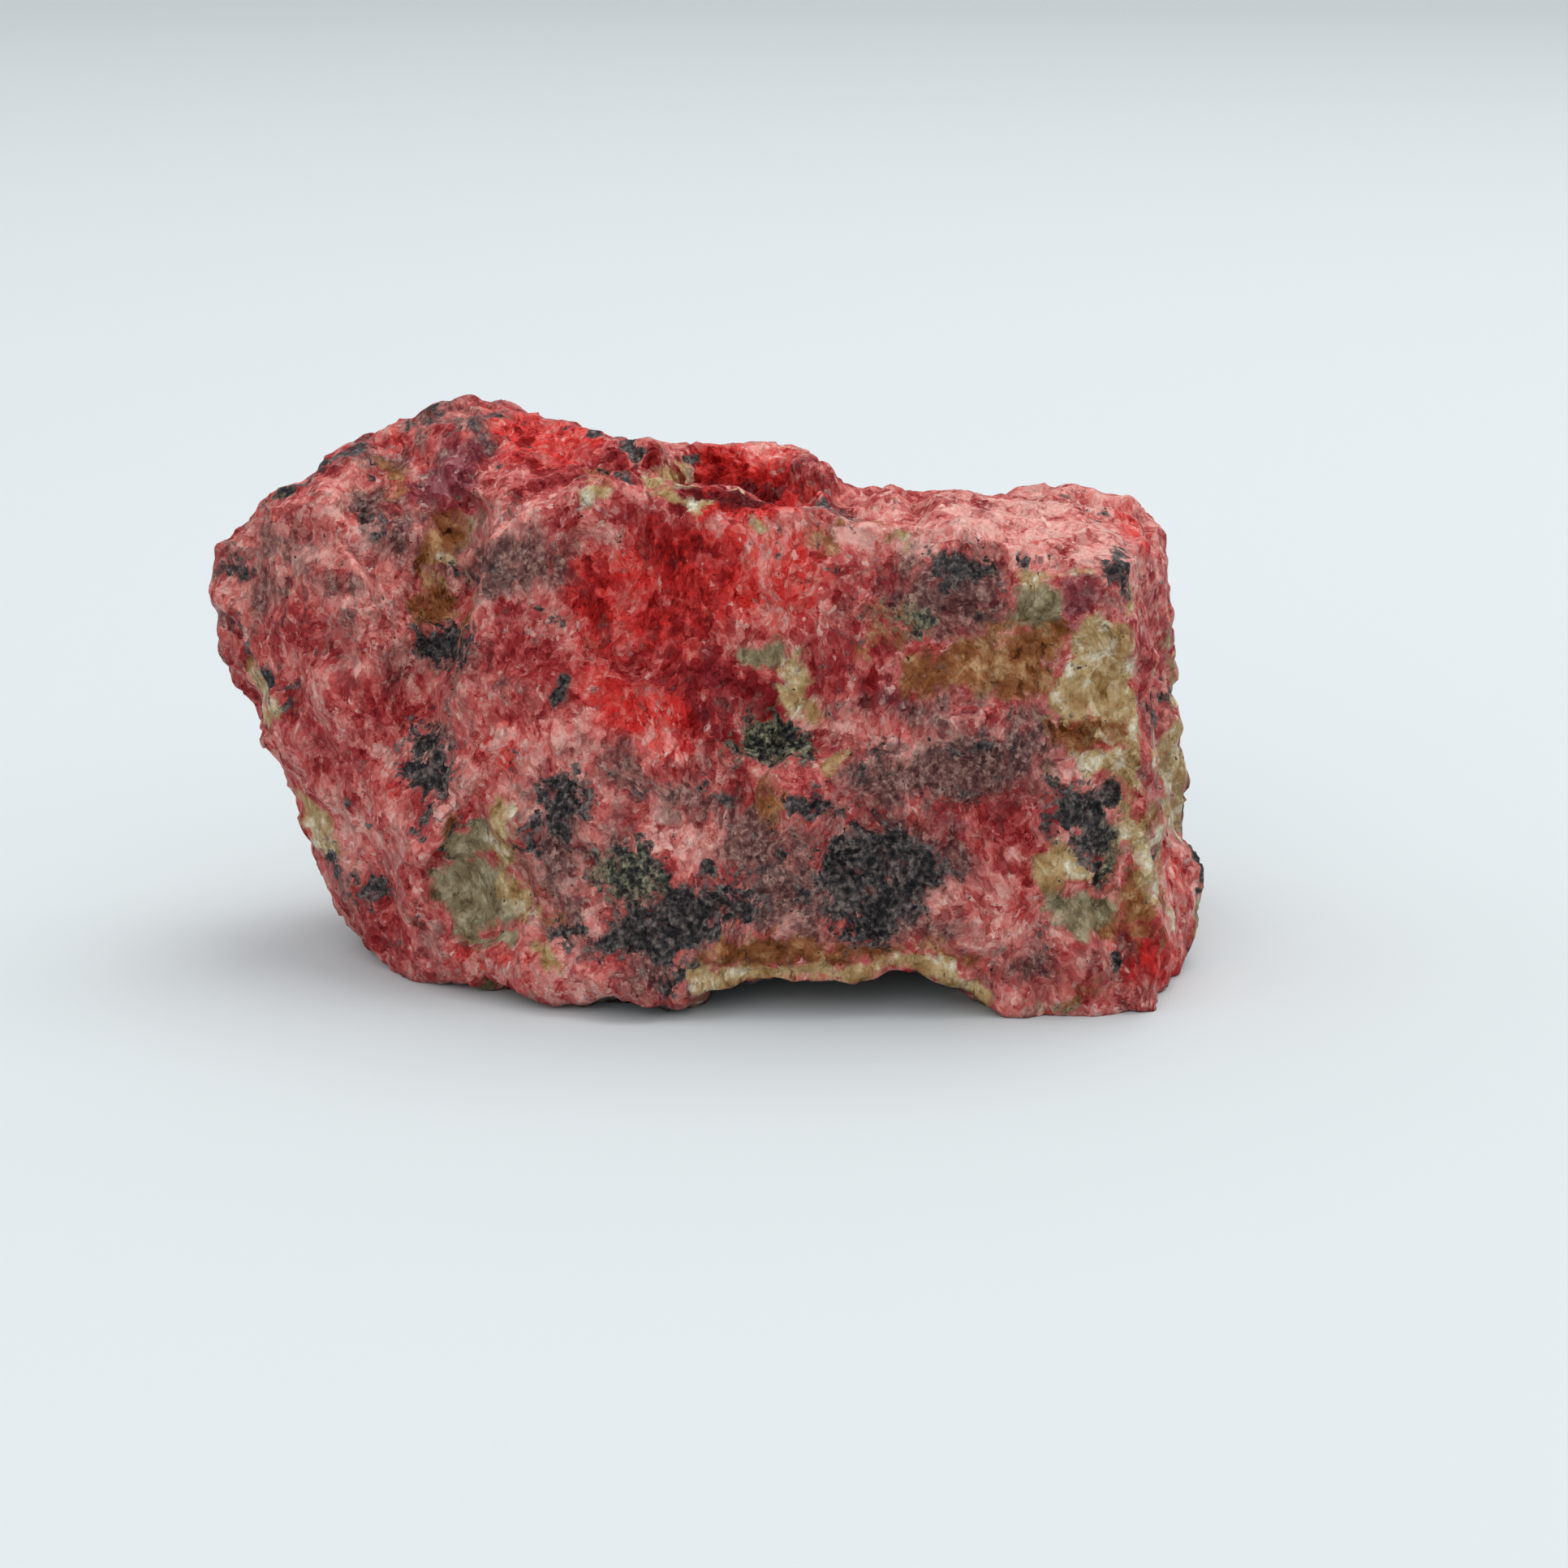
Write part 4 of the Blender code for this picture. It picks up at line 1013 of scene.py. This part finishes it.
def with_quartz(tree, patterns, colour):
    """(the colour with quartz on it, the quartz's share). Quartz is smoky, iron-stained or milky,
    and glassy, so its colour varies in soft clouds."""
    glass = noise(tree, patterns.place, 1.6 * MM, 4.0, 0.6)["Fac"]
    glass = around_middle(
        tree, glass, (patterns.grain_shades[1], 0.16), (patterns.shard_shades[1], 0.14), (patterns.grit, 0.20)
    )
    torn = around_middle(tree, patterns.edges, (patterns.shard_shades[2], 0.22))
    quartz = 0.0
    # (mineral, how far its edge is broken up, how sharp the edge is, colours).
    for mineral, reach, sharpness, stops in (
        ("smoky", 1.9, 2.0, ((0.3, "#5E5038"), (0.5, "#8A7A5C"), (0.7, "#B2A688"))),
        ("ochre", 2.2, 1.6, ((0.24, "#45200C"), (0.40, "#743F1C"), (0.54, "#8E5630"), (0.74, "#BE946A"))),
        ("milky", 1.8, 2.2, ((0.20, "#7E5A2C"), (0.38, "#9C784C"), (0.54, "#B99C70"), (0.74, "#E6DCC6"))),
    ):
        share = grainy_amount(tree, mineral, torn, reach, sharpness)
        colour = mix(tree, share, colour, ramp(tree, glass, *stops))
        quartz = math_of(tree, "MAXIMUM", quartz, share)
    return colour, quartz


def with_oxide(tree, settings, patterns, colour):
    """The colour with manganese oxide on it: black and iron-grey grains, greenish in smoky quartz,
    packed in patches and peppered about them."""
    black = amount_of(tree, "manganese")
    packed = around_middle(
        tree, black, (patterns.edges, 1.4), (patterns.grain_shades[2], 0.55), (patterns.crumb_shades[1], 0.35)
    )
    patch_share = threshold(tree, packed, 0.32, 0.74)
    pepper_share = threshold(tree, added(tree, patterns.grit, (packed, 0.28)), 0.70, 0.78)
    iron = around_middle(tree, patterns.grit, (patterns.crumb_shades[0], 0.22), (patterns.edges, -0.35))
    iron = added(tree, iron, (black, -0.12))
    oxide = ramp(tree, iron, (0.22, settings.oxide), (0.34, "#2C2829"), (0.46, "#4C4342"), (0.60, "#766A64"))
    greenish = ramp(
        tree, iron, (0.22, settings.oxide), (0.36, "#36362C"), (0.48, "#6A6A52"), (0.60, "#A5A078")
    )
    oxide = mix(tree, product(tree, amount_of(tree, "smoky"), 1.2), oxide, greenish)
    colour = mix(tree, pepper_share, colour, "#241C1C")
    return mix(tree, patch_share, colour, oxide)


def grain_bump(tree, patterns):
    """Normals of the grains. Each grain has flat faces that lean their own way, smaller in the
    crumbs between them."""
    height = product(tree, facet_height(tree, patterns.uneven, patterns.shards), 0.9)
    height = added(
        tree, height, (facet_height(tree, patterns.uneven, patterns.grains), 0.8),
        (facet_height(tree, patterns.uneven, patterns.crumbs), 0.8), (patterns.grit, 0.10 * MM),
        (patterns.patches, 0.20 * MM),
    )
    return add_node(tree, "ShaderNodeBump", {"Height": height, "Strength": 1.0, "Distance": 1.0}).outputs[0]


def rhodonite_material(settings):
    """Rhodonite broken in the hand: sugary grains a quarter to one millimetre wide, pink where they
    are fine and blood red where they are clean, with quartz and black oxide grown among them."""
    material, tree = new_material("rhodonite_quartz_and_manganese_oxide_fractured")
    patterns = Patterns(tree, settings)
    colour = pink_colour(tree, settings, patterns)
    colour = with_ash(tree, patterns, colour)
    colour, quartz = with_quartz(tree, patterns, colour)
    colour = with_oxide(tree, settings, patterns, colour)
    rough = added(tree, 0.38, (patterns.grain_shades[1], 0.30), (quartz, -0.12))
    shader = add_node(tree, "ShaderNodeBsdfPrincipled", {
        "Base Color": colour, "Roughness": rough, "Normal": grain_bump(tree, patterns),
        "Specular IOR Level": 0.15, "Subsurface Weight": 0.12, "Subsurface Radius": (1.0, 0.3, 0.2),
        "Subsurface Scale": 0.8 * MM,
    })
    add_node(tree, "ShaderNodeOutputMaterial", {"Surface": shader.outputs[0]})
    return material


def paper_material(settings):
    """Matt white card."""
    material, tree = new_material("matt_paper_card")
    shader = add_node(tree, "ShaderNodeBsdfPrincipled", {
        "Base Color": settings.floor, "Roughness": 0.85, "Specular IOR Level": 0.0,
    })
    add_node(tree, "ShaderNodeOutputMaterial", {"Surface": shader.outputs[0]})
    return material


# ---------------------------------------------------------------------------------------
# Operators


class OBJECT_OT_rhodonite_stone(bpy.types.Operator):
    """Builds the stone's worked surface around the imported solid"""

    bl_idname = "object.rhodonite_stone"
    bl_label = "Rhodonite stone"

    def execute(self, context):
        settings = context.scene.rhodonite_stone
        stone = bpy.data.objects.new(STONE, stone_mesh(settings))
        context.scene.collection.objects.link(stone)
        stone.data.shade_smooth()
        stone.data.materials.append(rhodonite_material(settings))
        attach(stone, "root")
        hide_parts(NODE)
        return {"FINISHED"}


class OBJECT_OT_rhodonite_stage(bpy.types.Operator):
    """Makes the floor that turns up all round, the lamp, the sky and the camera"""

    bl_idname = "object.rhodonite_stage"
    bl_label = "Stage"

    def execute(self, context):
        settings = context.scene.rhodonite_stage
        link = context.scene.collection.objects.link
        floor = bpy.data.objects.new("paper_floor", floor_mesh(settings.floor_radius))
        link(floor)
        floor.data.materials.append(paper_material(settings))

        link(soft_lamp("overhead_lamp", location=(0.28, 0.22, 0.95), size=0.9, strength=settings.lamp))
        link(soft_lamp("fill_lamp", location=(-0.25, -0.90, 0.45), size=0.7, strength=settings.fill))
        context.scene.world = pale_sky(settings.sky)
        context.scene.view_settings.view_transform = "Standard"
        camera = display_camera()
        link(camera)
        context.scene.camera = camera
        return {"FINISHED"}


def soft_lamp(name, location, size, strength):
    """A round lamp that faces the stone."""
    lamp = bpy.data.lights.new(name, "AREA")
    lamp.shape = "DISK"
    lamp.size = size
    lamp.energy = strength
    holder = bpy.data.objects.new(name, lamp)
    holder.location = location
    holder.rotation_mode = "QUATERNION"
    holder.rotation_quaternion = Vector(location).to_track_quat("Z", "Y")
    return holder


def pale_sky(strength):
    """Even daylight from all round."""
    sky = bpy.data.worlds.new("pale_sky")
    sky.use_nodes = True
    sky.node_tree.nodes.clear()
    light = add_node(sky.node_tree, "ShaderNodeBackground", {"Color": "#F2F7FA", "Strength": strength})
    add_node(sky.node_tree, "ShaderNodeOutputWorld", {"Surface": light.outputs[0]})
    return sky


def display_camera():
    """The camera of the display view."""
    camera = bpy.data.cameras.new("display_view")
    camera.lens = LENS
    camera.sensor_width = SENSOR
    camera.clip_start = 0.02
    camera.clip_end = 10.0
    holder = bpy.data.objects.new("display_view", camera)
    back = Vector(VIEW_BACK)
    holder.location = (Vector(VIEW_TARGET) + back * VIEW_DISTANCE) * MM
    holder.rotation_mode = "QUATERNION"
    holder.rotation_quaternion = back.to_track_quat("Z", "Y")
    return holder


def floor_mesh(radius):
    """A round floor whose edge turns up in a quarter circle to a low wall."""
    turn_up, wall, rounds, turns = 0.5, 0.25, 12, 96
    profile = [(0.0, 0.0), (radius, 0.0)]
    for step in range(1, rounds + 1):
        angle = math.pi / 2 * step / rounds
        profile.append((radius + turn_up * math.sin(angle), turn_up * (1 - math.cos(angle))))
    profile.append((radius + turn_up, turn_up + wall))
    card = bmesh.new()
    line = [card.verts.new((x, 0, z)) for x, z in profile]
    edges = [card.edges.new(pair) for pair in zip(line, line[1:])]
    bmesh.ops.spin(
        card, geom=line + edges, axis=(0, 0, 1), cent=(0, 0, 0), angle=math.tau, steps=turns, use_merge=True
    )
    bmesh.ops.remove_doubles(card, verts=card.verts, dist=0.01 * MM)
    for face in card.faces:
        face.smooth = True
        if face.normal.z < 0 or (face.normal.z < 0.01 and face.normal.dot(face.calc_center_median()) > 0):
            face.normal_flip()
    mesh = bpy.data.meshes.new("paper_floor")
    card.to_mesh(mesh)
    card.free()
    return mesh


class VIEW3D_PT_rhodonite(bpy.types.Panel):
    """Lists the settings and the builders"""

    bl_label = "Rhodonite"
    bl_space_type = "VIEW_3D"
    bl_region_type = "UI"
    bl_category = "Rhodonite"

    def draw(self, context):
        groups = (
            (context.scene.rhodonite_stone, OBJECT_OT_rhodonite_stone),
            (context.scene.rhodonite_stage, OBJECT_OT_rhodonite_stage),
        )
        for settings, operator in groups:
            box = self.layout.box()
            for name in settings.__annotations__:
                box.prop(settings, name)
            box.operator(operator.bl_idname)


CLASSES = (
    RhodoniteStoneSettings,
    RhodoniteStageSettings,
    OBJECT_OT_rhodonite_stone,
    OBJECT_OT_rhodonite_stage,
    VIEW3D_PT_rhodonite,
)


def register():
    for made in CLASSES:
        bpy.utils.register_class(made)
    bpy.types.Scene.rhodonite_stone = PointerProperty(type=RhodoniteStoneSettings)
    bpy.types.Scene.rhodonite_stage = PointerProperty(type=RhodoniteStageSettings)


def unregister():
    del bpy.types.Scene.rhodonite_stage
    del bpy.types.Scene.rhodonite_stone
    for made in reversed(CLASSES):
        bpy.utils.unregister_class(made)


def main():
    register()
    bpy.ops.object.rhodonite_stone()
    bpy.ops.object.rhodonite_stage()


if __name__ == "__main__":
    main()
